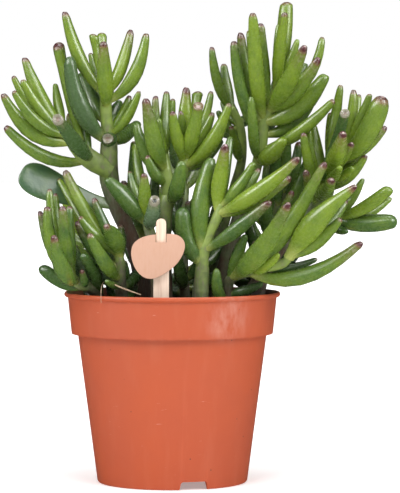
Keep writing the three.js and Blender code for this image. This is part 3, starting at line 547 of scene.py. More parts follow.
# Leafy shoots: the stem as above, then each leaf as
# [place along the stem, tip across, tip depth, tip height, width, bow]
shoots = {
    "shoot_left_top": {
        "stem": [[-35.2, -3, 186, 3.8], [-36.6, -5, 203, 3.3], [-37, -7, 216, 3.4], [-38, -7, 222, 2.6]],
        "leaves": [
            [0.05, -57.2, -16, 237, 9.4, 0.1], [0.15, -23.5, -4, 215, 5.5, 0.06],
            [0.12, -18.5, -12, 217, 5, 0.08], [0.1, -19, 8, 199, 8, 0.05], [0.22, -29, 12, 212, 7, 0.02],
            [0.25, -50.5, 10, 227, 7.6, 0.02], [0.62, -59.5, -8, 260.8, 6.8, 0.05],
            [0.42, -38.2, -24, 245, 7.8, 0.02], [0.62, -22.8, 2, 251, 6.6, 0.03],
            [0.52, -14.4, -8, 249, 7.2, 0.11], [0.9, -43.5, 0, 249, 5.4, 0], [0.9, -39.2, 6, 249, 5.4, 0],
            [0.7, -45.5, 14, 238, 4.8, 0.03], [0.55, -35, 24, 224, 6.5, 0.1], [0.4, -45, 28, 225, 6.5, 0.1],
        ],
    },
    "shoot_left_outer": {
        "stem": [[-35, -3, 172.4, 5.2], [-46.5, -7, 180, 5.5], [-55, -10, 189, 4.2], [-61, -12, 197, 3.4]],
        "leaves": [
            [0.66, -94.4, -14, 216.5, 8, 0.15], [0.8, -88.3, -24, 217.5, 5.8, 0.1],
            [0.8, -88.6, -6, 226, 5.2, 0.08], [0.85, -83.3, -16, 224, 6.4, 0.06],
            [0.92, -82, -8, 236, 7.2, 0.04], [0.97, -64.3, 4, 221.5, 4.8, 0],
            [0.3, -93.6, -12, 198.2, 6.8, 0.13], [0.25, -64, -40, 202, 8.4, 0],
            [0.4, -64.2, 0, 243.6, 7, -0.01], [0.3, -50, 2, 208, 5.2, 0], [0.6, -72, 16, 213, 6.5, 0.1],
            [0.5, -57, 24, 205, 6.5, 0.08],
        ],
    },
    "shoot_middle_low": {
        "stem": [[-8, -25, 76, 3.3], [-9, -26, 112, 3.2], [-12, -25, 136, 3.1], [-14.5, -24, 146, 2.6]],
        "leaves": [
            [0.92, -36.5, -26, 169.8, 9.6, -0.02], [0.95, -27.6, -12, 165.8, 5, 0],
            [0.97, -24, -16, 172.5, 4.8, 0], [0.95, -16, -34, 171.5, 6.3, 0],
            [0.97, -21, -6, 188, 5.6, -0.02], [0.85, -9.7, -46, 157, 7.8, 0.05],
        ],
    },
    "shoot_middle_left": {
        "stem": [[-2, -14, 156, 3.8], [-3.5, -15, 171, 3.5], [-5, -15, 181, 2.8]],
        "leaves": [
            [0.58, -14.7, -28, 214, 8.6, 0.04], [0.8, -9, -14, 215, 5.2, 0.03],
            [0.45, -20.3, -20, 200, 6.8, 0.08], [0.9, -7.5, -24, 201.8, 5, 0], [0.95, -3.2, 0, 217, 5.4, 0],
            [0.3, -14.2, -22, 182, 6, 0.1], [0.9, 0.3, 4, 213, 5.2, 0], [0.5, -14, 14, 198, 6.5, 0.08],
            [0.4, -8, 16, 190, 6.5, 0.1],
        ],
    },
    "shoot_middle_right": {
        "stem": [[-2, -14, 156, 4], [4, -12, 169, 3.9], [7, -11, 178, 3.4], [9, -10, 187, 2.7]],
        "leaves": [
            [0.62, 0, -26, 206.3, 6.3, 0.03], [0.85, 4.6, -16, 206, 4.4, 0], [0.9, 8, -10, 218.8, 7, 0],
            [0.95, 14.6, 0, 217, 6, 0], [0.7, 14.5, -26, 209.3, 7.6, 0.03],
            [0.85, 21.6, -2, 217.3, 5, 0.04], [0.7, 22.7, -14, 205, 6.2, 0.03],
            [0.55, 31.9, -20, 210.4, 8, 0.08], [0.5, 26, -2, 196, 7.6, 0.08],
            [0.02, 5.4, -32, 178.6, 8, 0.12], [0.5, 27.5, 10, 190.5, 7.2, 0.03],
            [0.6, 9, 22, 200, 6.5, 0.08], [0.5, 1, 20, 192, 6.5, 0.08],
        ],
    },
    "shoot_front": {
        "stem": [
            [16.6, -32, 117, 3.7], [17, -33, 127, 3.5], [21, -34, 138, 2.7], [25, -36, 147, 2.8],
            [27, -37, 154, 2.2],
        ],
        "leaves": [
            [0.25, 21.8, -35, 181, 10, -0.1], [0.8, 29.8, -50, 187.3, 7.6, -0.12],
            [0.1, 6.2, -34, 152.8, 9.4, 0.1], [0.82, 70.3, -60, 180, 9, 0.02],
            [0.78, 66.3, -46, 169.8, 6.6, 0.04], [0.28, 54.6, -52, 156, 7.4, 0],
            [0.97, 45.8, -42, 178, 6.2, 0.03], [0.95, 48.3, -34, 174, 6.2, 0.06],
            [0.9, 41, -24, 167, 6, 0.05], [0.7, 32, -20, 191.5, 6, -0.02], [0.5, 29, -6, 170, 7, 0.05],
            [0.2, 12, -10, 158, 7, 0.06],
        ],
    },
    "shoot_right_low": {
        "stem": [
            [29.5, -21, 76, 3.2], [30.5, -23, 104, 3.2], [32, -25, 112, 3], [43, -30, 117, 3.1],
            [62, -38, 121.5, 2.5], [66, -40, 126, 2],
        ],
        "leaves": [
            [0.14, 24.8, -33, 119.5, 6.2, 0.16], [0.34, 41, -34, 137.5, 6.4, -0.04],
            [0.45, 65, -76, 155.3, 10.6, 0.03], [0.64, 85, -52, 177.6, 8.4, 0], [0.56, 67, -42, 161.8, 6, 0],
            [0.58, 106, -46, 133.6, 8.4, 0.125], [0.68, 80.6, -28, 123.8, 4.6, 0.05],
            [0.6, 59.3, -44, 126.5, 5.4, 0.06], [0.2, 51, -26, 110.5, 5.6, 0.02],
            [0.93, 102.4, -64, 164.5, 12, -0.08], [0.95, 94, -44, 146.5, 7, 0.04],
            [0.97, 97, -24, 157, 6.6, 0.05], [0.6, 60, -8, 139, 7, 0.08], [0.76, 74, -10, 139, 7, 0.08],
        ],
    },
    "shoot_right_far": {
        "stem": [[67, -4, 138, 3], [82, -10, 143, 2.9], [93, -14, 148, 2.6]],
        "leaves": [
            [0.9, 121.2, -26, 163, 7.2, 0.05], [0.95, 121.4, -14, 157.6, 5.6, 0.1],
            [0.8, 125.2, -22, 146, 9.6, 0.03], [0.7, 97.6, -22, 138.8, 5.4, 0.06],
            [0.97, 106, -14, 168.6, 4.8, 0.02], [0.85, 110, 12, 152, 7, 0.08], [0.6, 96, 14, 150, 7, 0.08],
        ],
    },
    "shoot_right_outer": {
        "stem": [[79, -6, 154, 3.3], [88, -8, 170, 3.2], [94, -9, 181, 3], [98, -10, 190, 2.4]],
        "leaves": [
            [0.1, 88.7, -54, 168.3, 8.4, 0.02], [0.3, 95, -60, 193.7, 8.6, -0.02],
            [0.16, 96.8, -42, 205.2, 7, -0.02], [0.25, 93.6, -6, 220.3, 6, -0.04],
            [0.85, 100.9, -14, 217.7, 6, 0.02], [0.88, 103.8, -6, 215.2, 4.8, 0],
            [0.85, 109.4, -18, 216.2, 5.6, 0.04], [0.6, 116.8, -28, 213, 11.2, 0.09],
            [0.55, 118.8, -12, 197.8, 6.4, 0.05], [0.3, 100.7, -34, 174.8, 5.2, 0.05],
            [0.25, 93.3, -46, 175.3, 5.6, 0], [0.45, 99.5, -38, 188.5, 5.8, 0],
            [0.35, 106, -8, 183, 6.2, 0.08], [0.4, 88.3, 4, 206, 7.2, 0.03], [0.25, 78, 8, 199.5, 6, 0.05],
            [0.15, 75.8, -16, 196.3, 5.2, 0.05], [0.1, 72.8, -24, 194, 5.8, 0.06],
            [0.02, 74, -32, 173, 5.8, 0.05], [0.5, 99, 24, 198, 7, 0.1], [0.7, 108, 18, 201, 6.5, 0.1],
            [0.3, 94, 28, 184, 7, 0.1], [0.18, 107.5, -22, 182, 6.2, 0.08],
        ],
    },
    "shoot_right_top": {
        "stem": [
            [46.5, -2, 173, 2.8], [49, -5, 185, 3.4], [50.4, -6, 200, 3.8], [55.5, -7, 212, 3.2],
            [58, -7, 218, 2.6],
        ],
        "leaves": [
            [0.12, 43.8, -24, 214, 5.6, 0.1], [0.24, 89.6, -30, 212, 6.6, 0.05],
            [0.5, 44.6, -32, 260.4, 7.8, 0.02], [0.6, 49, -10, 255, 6.2, -0.02],
            [0.6, 42.6, -4, 250.8, 5.6, 0], [0.45, 38, -12, 249.4, 8.6, 0.02],
            [0.3, 34, -20, 245.4, 6.4, 0.04], [0.5, 85.6, -20, 227.5, 10.4, 0.1],
            [0.64, 74, -44, 242, 9.2, 0.02], [0.75, 83.4, -4, 247.8, 5.6, 0.16],
            [0.62, 82.2, -26, 235.5, 8.6, 0.06], [0.9, 63.4, -2, 267, 8, 0],
            [0.88, 62.4, -22, 260.4, 6, -0.02], [0.86, 59.3, -12, 253.8, 5.2, 0],
            [0.92, 69.2, -8, 245.8, 5.2, 0], [0.7, 74.5, 6, 232.8, 6.2, 0.02],
            [0.1, 63, -16, 191.5, 9, 0.05], [0.6, 62, 26, 238, 7, 0.08], [0.5, 50, 28, 232, 7, 0.08],
            [0.7, 71, 24, 228, 6.5, 0.08], [0.4, 57, 30, 214, 7, 0.08], [0.38, 80, -2, 216, 7.4, 0.12],
        ],
    },
    "shoot_rear": {
        "stem": [
            [15, 15, 76, 3.7], [20, 18, 112, 3.6], [31, 18, 152, 3.1], [38.6, 16, 180, 2.5],
            [37.6, 14, 198, 2.3], [33, 13, 207, 2.2],
        ],
        "leaves": [
            [0.93, 22, 10, 241.5, 5.4, 0.06], [0.95, 28.6, 18, 232.8, 6.2, 0.04],
            [0.8, 27.5, 26, 211.5, 5.6, 0.05], [0.7, 25, 20, 206.8, 5, 0.05],
            [0.58, 32.5, 2, 197.5, 5.2, 0.02], [0.85, 44, 30, 204, 6.2, 0.08], [0.9, 31, 36, 214, 6.2, 0.1],
            [0.8, 24, 32, 196, 6.6, 0.1],
        ],
    },
    "shoot_low_outer": {
        "stem": [
            [-38, -14, 76, 3.4], [-40, -18, 100, 3.4], [-45, -24, 107, 3.2], [-52, -28, 110, 3],
            [-56, -30, 114, 2.4],
        ],
        "leaves": [
            [0.62, -73.4, -22, 120.3, 7.2, 0.1], [0.82, -66, -58, 137.3, 8.4, 0.14],
            [0.92, -69.3, -40, 153.8, 7, 0.11], [0.88, -73.4, -24, 150.5, 5.6, 0.07],
            [0.92, -61, -46, 153.6, 6.4, 0.05], [0.95, -57, -32, 153.8, 5.8, 0.02],
            [0.97, -68.3, -26, 162.8, 5.6, 0.05], [0.26, -49.4, -44, 126, 6.8, -0.14],
            [0.6, -50.4, -42, 117.6, 4.2, 0.02], [0.8, -60, -2, 134, 7, 0.1],
            [0.9, -65, -16, 160.5, 4.8, 0.06], [0.5, -55, 4, 132, 6.6, 0.06], [0.4, -42, 6, 134, 6.6, 0.04],
            [0.24, -50, -4, 114, 6.4, 0.06],
        ],
    },
    "shoot_low_inner": {
        "stem": [
            [-27, -20, 76, 3.4], [-28, -24, 100, 3.4], [-29, -28, 112, 3.2], [-29, -30, 122, 2.7],
            [-31, -31, 128, 2.2],
        ],
        "leaves": [
            [0.5, -46.8, -48, 138, 7.2, 0.03], [0.86, -37.2, -48, 142.2, 9.4, -0.16],
            [0.8, -44, -28, 157.5, 5.8, -0.02], [0.95, -51.8, -38, 147.6, 6.4, 0.03],
            [0.65, -53.3, -28, 146, 7.2, 0.08], [0.5, -25.5, -16, 121, 6.6, 0.05],
            [0.75, -28.5, -12, 142.8, 5.6, 0], [0.9, -60, -20, 173, 7.4, 0.02],
            [0.88, -63.2, -12, 169, 5, 0.03], [0.44, -37, -46, 111.8, 3.8, 0.05],
            [0.8, -40, 2, 139, 7, 0.1], [0.45, -47, -4, 124, 6.6, 0.08], [0.42, -18, -4, 121, 6.6, 0.06],
            [0.24, -36, -6, 113, 6.4, 0.06], [0.26, -20, -12, 111, 6.2, 0.06],
        ],
    },
    "shoot_inner_left": {
        "stem": [[-12, 16, 76, 3.2], [-13, 19, 104, 3], [-15, 18, 128, 2.9], [-18, 14, 148, 2.5]],
        "leaves": [
            [0.3, -36, 30, 114, 6.6, 0.1], [0.32, 2, 36, 116, 6.6, 0.1], [0.5, -28, 32, 140, 6.6, 0.06],
            [0.55, -2, 10, 146, 6.6, 0.08], [0.6, -14, 40, 150, 6.6, 0.06], [0.75, -21, 6, 190, 8, 0.04],
            [0.85, -9, 18, 176, 6.6, 0.02], [0.9, -27, 28, 168, 6.6, 0.06], [0.95, -16, 32, 172, 6.6, 0.02],
            [0.7, 5, 24, 160, 6.6, 0.08], [0.4, -6, 46, 130, 6.6, 0.08],
        ],
    },
    "shoot_inner_right": {
        "stem": [[8, -4, 76, 3], [7, -5, 104, 2.9], [6, -3, 124, 2.8], [8, 0, 140, 2.4]],
        "leaves": [
            [0.4, 3, -28, 128, 6.6, 0.1], [0.45, 22, -8, 137, 6.6, 0.06], [0.35, -8, 14, 116, 6.6, 0.1],
            [0.4, 27, 14, 118, 6.6, 0.1], [0.65, 9, 20, 156, 6.6, 0.06], [0.7, 13, -12, 158, 6.6, 0.03],
            [0.75, 25, 10, 150, 6.6, 0.08], [0.85, -2, 2, 164, 6.6, 0.04], [0.95, 27, -2, 179, 6.6, 0.02],
            [0.32, 13, 38, 122, 6.6, 0.08], [0.5, 22, 36, 134, 6.6, 0.08], [0.55, 36, 24, 142, 6.6, 0.08],
        ],
    },
    "shoot_inner_far": {
        "stem": [[44, 14, 76, 3.4], [49, 16, 108, 3.3], [56, 12, 138, 3.1], [61, 9, 160, 2.5]],
        "leaves": [
            [0.35, 35, 4, 134, 6.6, 0.08], [0.4, 62, 34, 139, 6.6, 0.1], [0.5, 42, 14, 154, 6.6, 0.08],
            [0.62, 50, -8, 168, 7, 0.08], [0.75, 53, 20, 179, 6.8, 0.06], [0.8, 75, 0, 180, 7, 0.08],
            [0.88, 57, -4, 188, 6.6, 0.03], [0.92, 70, 14, 189, 6.6, 0.05], [0.97, 64, 4, 194, 6.2, 0],
            [0.7, 66, 34, 170, 6.6, 0.1], [0.36, 28, 30, 118, 6.6, 0.08], [0.42, 64, 20, 128, 6.6, 0.1],
            [0.3, 46, -6, 134, 6.6, 0.04], [0.4, 44, 36, 146, 6.6, 0.05],
        ],
    },
    "shoot_back_left": {
        "stem": [[-33, 40, 114, 3.2], [-40, 46, 125, 3], [-46, 50, 134, 2.4]],
        "leaves": [
            [0.2, -38, 84, 126, 6.6, 0.1], [0.3, -66, 54, 121, 6.6, 0.12], [0.5, -28, 78, 137, 6.6, 0.1],
            [0.55, -67, 40, 138, 6.6, 0.1], [0.7, -48, 86, 146, 6.6, 0.1], [0.8, -66, 66, 150, 6.6, 0.08],
            [0.9, -52, 64, 158, 6.4, 0.04], [0.95, -46, 40, 156, 6, 0.03], [0.92, -61, 44, 160, 6, 0.04],
            [0.6, -58, 80, 134, 6.6, 0.1],
        ],
    },
    "shoot_back_middle": {
        "stem": [[6, 44, 146, 3.2], [6, 48, 160, 3], [4, 50, 173, 2.4]],
        "leaves": [
            [0.15, -8, 78, 164, 6.6, 0.1], [0.2, 25, 66, 160, 6.6, 0.1], [0.4, 6, 88, 176, 6.6, 0.1],
            [0.5, -15, 60, 186, 6.8, 0.08], [0.6, 18, 78, 186, 6.6, 0.06], [0.75, -6, 76, 196, 6.6, 0.06],
            [0.85, 6, 62, 205, 6.4, 0.02], [0.95, 0, 48, 203, 6, 0], [0.9, 14, 50, 200, 6, 0.04],
            [0.7, 8, 84, 190, 6, 0.06],
        ],
    },
    "shoot_back_right": {
        "stem": [[52, 42, 128, 3.2], [58, 48, 140, 3], [63, 52, 151, 2.4]],
        "leaves": [
            [0.1, 44, 80, 144, 6.6, 0.1], [0.2, 80, 62, 144, 6.6, 0.12], [0.4, 60, 90, 152, 6.6, 0.1],
            [0.5, 40, 60, 163, 6.6, 0.08], [0.6, 86, 60, 162, 6.6, 0.08], [0.75, 54, 76, 172, 6.6, 0.06],
            [0.85, 76, 82, 168, 6.4, 0.06], [0.95, 63, 60, 182, 6, 0.02], [0.9, 74, 50, 178, 6, 0.04],
            [0.55, 80, 40, 150, 6.6, 0.08],
        ],
    },
}

# How woody each stem is at its foot and its top, from green 0 to brown bark 1. It is partly painted shade:
# stems are woodier, so darker, at their feet and deep inside the plant.
woodinessAndShade = {
    "trunk_left": (1.25, 0.3), "trunk_middle": (0.9, 0.1), "trunk_front": (0.6, 0.32),
    "trunk_right": (1.0, 0.4), "trunk_top_right": (0.9, 0.2), "trunk_back_left": (0.9, 0.5),
    "trunk_back_middle": (0.9, 0.5), "trunk_back_right": (0.9, 0.5), "shoot_left_top": (0.2, 0),
    "shoot_left_outer": (0.2, 0.1), "shoot_middle_low": (0.9, 0.1), "shoot_middle_left": (0.2, 0),
    "shoot_middle_right": (0.2, 0), "shoot_front": (0.3, 0), "shoot_right_low": (0.8, 0),
    "shoot_right_far": (0.4, 0), "shoot_right_outer": (0.3, 0), "shoot_right_top": (0.2, 0),
    "shoot_rear": (0.5, 0.05), "shoot_low_outer": (0.9, 0.1), "shoot_low_inner": (0.9, 0.1),
    "shoot_inner_left": (0.9, 0.2), "shoot_inner_right": (0.9, 0.2), "shoot_inner_far": (0.9, 0.3),
    "shoot_back_left": (0.4, 0), "shoot_back_middle": (0.4, 0), "shoot_back_right": (0.4, 0),
}

# How dark each leaf in front is, in the order above, from young and yellowish 0 to old and dark 1. Tones near
# 1 are also painted shade, on leaves in shadow deep in the plant. Past 1.02 its open tip is pale, past 1.1
# its skin has a bloom, and past 1.25 the inside of its tip has painted shade.
leafTones = {
    "shoot_left_top": [1.16, 0.6, 0.4, 1, 1, 1, 0.45, 0.45, 0.15, 0.45, 0.35, 0.35, 0.7, 0.9, 0.9],
    "shoot_left_outer": [0.55, 0.6, 0.5, 0.5, 0.45, 0.6, 0.6, 1.1, 0.5, 0.9, 0.8, 0.9],
    "shoot_middle_low": [0.95, 0.8, 0.8, 0.2, 0.6, 1.4],
    "shoot_middle_left": [0.6, 0.7, 0.85, 0.6, 0.7, 0.7, 0.6, 0.95, 0.95],
    "shoot_middle_right": [0.35, 0.6, 0.1, 0.65, 0.4, 0.6, 0.4, 0.4, 0.7, 0.8, 1, 0.95, 0.95],
    "shoot_front": [0.7, 0.1, 0.95, 0.2, 0.5, 0.85, 0.6, 0.6, 0.7, 0.9, 0.95, 0.95],
    "shoot_right_low": [0.7, 0.7, 0.5, 0.5, 0.6, 0.5, 0.95, 0.1, 1, 0.25, 0.4, 0.7, 0.9, 0.9],
    "shoot_right_far": [0.3, 0.4, 0.7, 0.9, 0.4, 0.9, 0.9],
    "shoot_right_outer": [
        0.5, 0.15, 1.14, 0.5, 0.4, 0.4, 0.45, 0.5, 0.45, 0.3, 0.3, 0.2, 0.35, 0.4, 0.5, 0.45, 0.4, 0.4, 0.6,
        0.7, 0.7, 0.4,
    ],
    "shoot_right_top": [
        0.75, 0.5, 0.35, 0.6, 0.5, 0.8, 0.85, 0.6, 0.4, 0.3, 0.5, 0.35, 0.1, 0.4, 0.4, 0.8, 0.3, 0.9, 0.9,
        0.9, 0.9, 0.8,
    ],
    "shoot_rear": [0.6, 0.7, 0.8, 0.8, 0.6, 0.95, 0.95, 0.95],
    "shoot_low_outer": [0.9, 0.55, 0.55, 0.75, 0.65, 0.75, 0.45, 0.95, 0.85, 0.9, 0.7, 0.95, 0.95, 0.95],
    "shoot_low_inner": [0.6, 0.55, 0.9, 0.55, 0.9, 0.98, 0.95, 0.35, 0.45, 0.75] + [0.95] * 5,
    "shoot_inner_left": [0.95] * 11, "shoot_inner_right": [0.95] * 12, "shoot_inner_far": [0.9] * 14,
}
toning = {
    "drift": 0.05, "green": 1.05, "heights": (130, 205), "shadeShifts": (0.12, -0.14),  # painted light high up, painted shade low down
    "backFoot": 0.75, "backFall": 0.5, "backDrift": 0.3,  # on shoots without a list
}

# How the tips of the leaves in front end, by their place in the lists above. The rest are drawn by chance.
tipKinds = {
    "shoot_left_top": {
        0: "plain", 3: "plain", 4: "plain", 5: "plain", 6: "round", 7: "red", 8: "red", 9: "faint",
        10: "spoon", 11: "spoon",
    },
    "shoot_left_outer": {0: "round", 3: "faint", 4: "round", 5: "plain", 7: "open", 8: "knob", 9: "plain"},
    "shoot_middle_low": {0: "plain", 3: "red", 4: "plain", 5: "open"},
    "shoot_middle_left": {0: "red", 1: "red", 2: "plain", 3: "plain", 4: "round"},
    "shoot_middle_right": {
        0: "round", 2: "red", 3: "spoon", 4: "open", 7: "faint", 9: "plain", 10: "plain",
    },
    "shoot_front": {
        0: "plain", 1: "red", 2: "blunt", 3: "red", 4: "red", 5: "red", 6: "plain", 8: "plain", 9: "plain",
        10: "plain",
    },
    "shoot_right_low": {
        0: "plain", 1: "plain", 2: "red", 3: "red", 5: "red", 6: "faint", 7: "plain", 8: "plain",
        9: "round",
    },
    "shoot_right_far": {0: "blunt", 1: "plain", 2: "blunt", 3: "plain", 4: "plain"},
    "shoot_right_outer": {0: "round", 1: "red", 2: "open", 3: "faint", 7: "broad", 9: "plain", 10: "plain"},
    "shoot_right_top": {
        0: "plain", 1: "faint", 2: "faint", 5: "red", 6: "round", 7: "plain", 8: "red", 10: "red",
        11: "broad", 12: "round", 13: "plain", 14: "plain", 15: "plain", 16: "plain",
    },
    "shoot_rear": {0: "round", 1: "faint", 2: "plain", 3: "plain"},
    "shoot_low_outer": {0: "blunt", 1: "round", 2: "round", 7: "plain"},
    "shoot_low_inner": {0: "faint", 1: "faint", 9: "plain"},
}

# Where a side shoot broke off, a short pale stub: [place along the stem, across, depth, height, width]
stubs = {"shoot_left_top": [[0.08, -35.8, -12, 190.6, 8.4]]}

# How far past the leaf's end each kind's red begins, in half widths. From 1 on a tip stays green.
tipBlush = {
    "red": -0.05, "round": 0.12, "faint": 0.36, "plain": 1.2, "spoon": 0.5, "knob": 0.1, "open": 0.05,
    "blunt": 1.2, "broad": 0.42,
}
# The master leaf of each kind of tip. The others grow from the full or the slim one.
tipShapes = {"spoon": "spoon", "knob": "spoon", "open": "open", "blunt": "blunt", "broad": "blunt"}

# Swells, dents and the wobble are a size, then how often they come along or round a leaf or stem
leafForm = {
    "girth": 1.08, "fullness": 1.05, "flatness": 0.92, "leastBow": 0.03, "bowPlace": 0.38, "sides": 12,
    "slimWidth": 6.7, "tipSlope": (-0.15, 0.4), "openSlope": 0.5, "tipWidth": 5.0, "capLength": (0.85, 1.2),
    "narrowFrom": 0.55, "slopeFrom": 0.86, "rimWeight": 0.3, "swells": (0.03, 7, 11), "dents": (0.035, 3, 2),
    "wobble": (0.10, 4.5), "grain": 0.2, "grainStep": 9, "blushDrift": 0.06, "stubTone": 1.12, "seed": 5,
}
stemForm = {
    "sides": 16, "rings": 56, "end": [(0.86, 1.2), (0.55, 1.38), (0.2, 1.45)], "ringWidth": 1.1,
    "ringSwell": 0.03, "dents": (0.03, 3, 9), "swells": (0.012, 17), "firstNode": 0.12, "nodeSpacing": 24,
    "nodeDrift": 0.04, "nodeSteps": 5,
}

# Rings of each master leaf: (half width, place along). Past 1 is the cap, in half widths.
leafRings = {
    "full": [
        (0.48, 0.05), (0.56, 0.12), (0.78, 0.24), (0.96, 0.36), (1.05, 0.5), (1.03, 0.63), (0.95, 0.75),
        (0.84, 0.86), (0.73, 0.94), (0.65, 1.0),
    ],
    "slim": [
        (0.44, 0.05), (0.54, 0.12), (0.77, 0.25), (0.95, 0.38), (1.03, 0.51), (1.0, 0.65), (0.91, 0.77),
        (0.80, 0.88), (0.70, 0.95), (0.63, 1.0),
    ],
    "open": [
        (0.48, 0.05), (0.56, 0.12), (0.76, 0.24), (0.93, 0.36), (1.0, 0.5), (0.96, 0.64), (0.86, 0.77),
        (0.76, 0.88), (0.70, 0.96), (0.68, 1.0),
    ],
    "spoon": [
        (0.42, 0.05), (0.5, 0.12), (0.66, 0.3), (0.75, 0.5), (0.73, 0.68), (0.72, 0.78), (0.75, 0.86),
        (0.84, 0.93), (0.89, 0.97), (0.91, 1.0),
    ],
    "blunt": [
        (0.46, 0.05), (0.55, 0.12), (0.75, 0.26), (0.88, 0.42), (0.95, 0.58), (0.97, 0.72), (0.96, 0.84),
        (0.93, 0.92), (0.90, 0.97), (0.87, 1.0),
    ],
}
leafCaps = {  # the cap's outer rings, then the rings of the hollow in its tip
    "full": ([(0.61, 1.2), (0.54, 1.42), (0.43, 1.62), (0.31, 1.74)], [(0.19, 1.77), (0.09, 1.74)]),
    "slim": ([(0.58, 1.2), (0.51, 1.42), (0.40, 1.62), (0.28, 1.75)], [(0.17, 1.78), (0.08, 1.76)]),
    "open": ([(0.69, 1.14), (0.66, 1.32), (0.58, 1.42)], [(0.48, 1.40), (0.34, 1.26), (0.17, 1.14)]),
    "spoon": ([(0.91, 1.2), (0.82, 1.45), (0.65, 1.66), (0.45, 1.79)], [(0.26, 1.86), (0.12, 1.88)]),
    "blunt": ([(0.83, 1.25), (0.73, 1.48), (0.57, 1.68), (0.38, 1.8)], [(0.22, 1.86), (0.1, 1.87)]),
}

# Leaves and stems are rows of balls here. Balls that cross a ball of another leaf or stem, the lip, the soil
# or the label bend their leaf away.
bending = {
    "passes": 60, "clearance": 1, "places": (0.3, 0.48, 0.66, 0.84, 1), "stemBalls": 5, "sideways": 0.4,
    "inDepth": 0.5, "step": 1.5, "rooted": 0.4, "pullSideways": 0.06, "pullInDepth": 0.01, "near": 60,
    "swell": ((0, 0.28, 0.66, 0.96), (0.4, 0.9, 1, 0.72)), "lipReach": 4,
    "tagLeft": 2, "tagHalf": 16, "tagRise": 5, "labelFront": 1.5,
}


def unit(vectors):
    return vectors / np.linalg.norm(vectors, axis=-1, keepdims=True)


def square(vectors, ways):  # the part of each vector that is square to a way, as a unit vector
    return unit(vectors - ways * np.sum(vectors * ways, axis=-1, keepdims=True))


def bowed(t, foot, handle, tip):  # points along a leaf's spine, one curve with one handle
    return (1 - t) ** 2 * foot + 2 * t * (1 - t) * handle + t ** 2 * tip


def bowedWays(t, foot, handle, tip):
    return unit((1 - t) * (handle - foot) + t * (tip - handle))


def seen(places):  # the real places of what stands so in the layout
    across, depth, height = np.moveaxis(np.asarray(places, float), -1, 0)
    scale = 1 + depth / eye["distance"]
    spread, rise = (across - eye["across"]) * scale, (height - eye["height"]) * scale
    return np.stack([eye["across"] + spread, depth, eye["height"] + rise], axis=-1)


# Stems

def makeStem(rows):
    rows = np.array(rows, float)
    return {"knots": seen(rows[:, :3]), "radii": rows[:, 3]}


def alongStem(stem, shares):  # points at shares of the way, on one smooth curve through the knots
    knots = stem["knots"]
    padded = np.vstack([2 * knots[0] - knots[1], knots, 2 * knots[-1] - knots[-2]])
    scaled = np.atleast_1d(np.asarray(shares, float)) * (len(knots) - 1)
    first = np.clip(np.floor(scaled).astype(int), 0, len(knots) - 2)
    t = (scaled - first)[:, None]
    before, start, end, after = (padded[first + step] for step in range(4))
    spans = [np.sum((b - a) ** 2, axis=1, keepdims=True) ** 0.25
             for a, b in ((before, start), (start, end), (end, after))]
    leave = (start - before) / spans[0] - (end - before) / (spans[0] + spans[1]) + (end - start) / spans[1]
    arrive = (end - start) / spans[1] - (after - start) / (spans[1] + spans[2]) + (after - end) / spans[2]
    leave, arrive = leave * spans[1], arrive * spans[1]
    third = 3 * (end - start) - 2 * leave - arrive
    fourth = 2 * (start - end) + leave + arrive
    return start + leave * t + third * t ** 2 + fourth * t ** 3


def stemWays(stem, shares):  # the stem's directions there
    shares = np.atleast_1d(np.asarray(shares, float))
    step = 1e-4
    return unit(alongStem(stem, np.clip(shares + step, 0, 1)) - alongStem(stem, np.clip(shares - step, 0, 1)))


def stemRadii(stem, shares):
    return np.interp(shares, np.linspace(0, 1, len(stem["radii"])), stem["radii"])


def stemLength(stem):
    points = alongStem(stem, np.linspace(0, 1, 201))
    return np.sum(np.linalg.norm(np.diff(points, axis=0), axis=1))


# Leaves that would cross are bent apart at their tips, mostly in depth, and drawn back to their place

def spinesOf(feet, tips, bows):  # the middle handles and the undersides of the leaves' spines
    chords = tips - feet
    ways = unit(chords)
    outward = unit(ways * (1, 1, 0))
    under = square(outward - (0, 0, 1), ways)
    reach = 2 * (bows[..., None] + leafForm["leastBow"]) * np.linalg.norm(chords, axis=-1, keepdims=True)
    return feet + chords * leafForm["bowPlace"] + under * reach, under


def pushesOf(away, room, split):  # the moves that take balls off each other
    distance = np.maximum(np.linalg.norm(away, axis=-1, keepdims=True), 0.01)
    cross = room[..., None] - distance
    away = away / distance
    turn = np.where(away[..., 1] < 0, -1, 1) * bending["inDepth"]
    side = bending["sideways"]
    away = np.stack([away[..., 0] * side, away[..., 1] + turn, away[..., 2] * side], axis=-1)
    return np.where(cross > 0, away * cross * split, 0)


def holderMoves(balls, radii):  # how far each ball has to move to be clear of the lip, the soil and the label
    x, y, z = np.moveaxis(balls, -1, 0)
    reach = np.hypot(x, y)
    rest = np.where(reach > pot["collarFoot"] - bending["lipReach"], potHigh, soil["top"])
    lift = np.where(reach < potWide + radii, np.maximum(0, rest + bending["clearance"] + radii - z), 0)
    beside = x - label["middle"]
    overTag = np.abs(beside + bending["tagLeft"]) < bending["tagHalf"] + radii
    overTag &= z < label["slotFoot"] + bending["tagRise"] + radii
    overStake = (np.abs(beside) < label["stakeWidth"] / 2 + radii) & (z < label["top"] + radii)
    back = np.maximum(0, label["depth"] + bending["labelFront"] + bending["clearance"] + radii - y)
    return np.stack([0 * x, np.where(overTag | overStake, back, 0), lift], axis=-1)


def stemBalls(stems):  # their places, radii and the number of the stem that each belongs to
    balls, radii, owners = [], [], []
    for number, stem in enumerate(stems):
        places = np.linspace(0, 1, math.ceil(stemLength(stem) / bending["stemBalls"]) + 1)
        balls.extend(alongStem(stem, places))
        radii.extend(stemRadii(stem, places))
        owners.extend([number] * len(places))
    return np.array(balls), np.array(radii), np.array(owners)


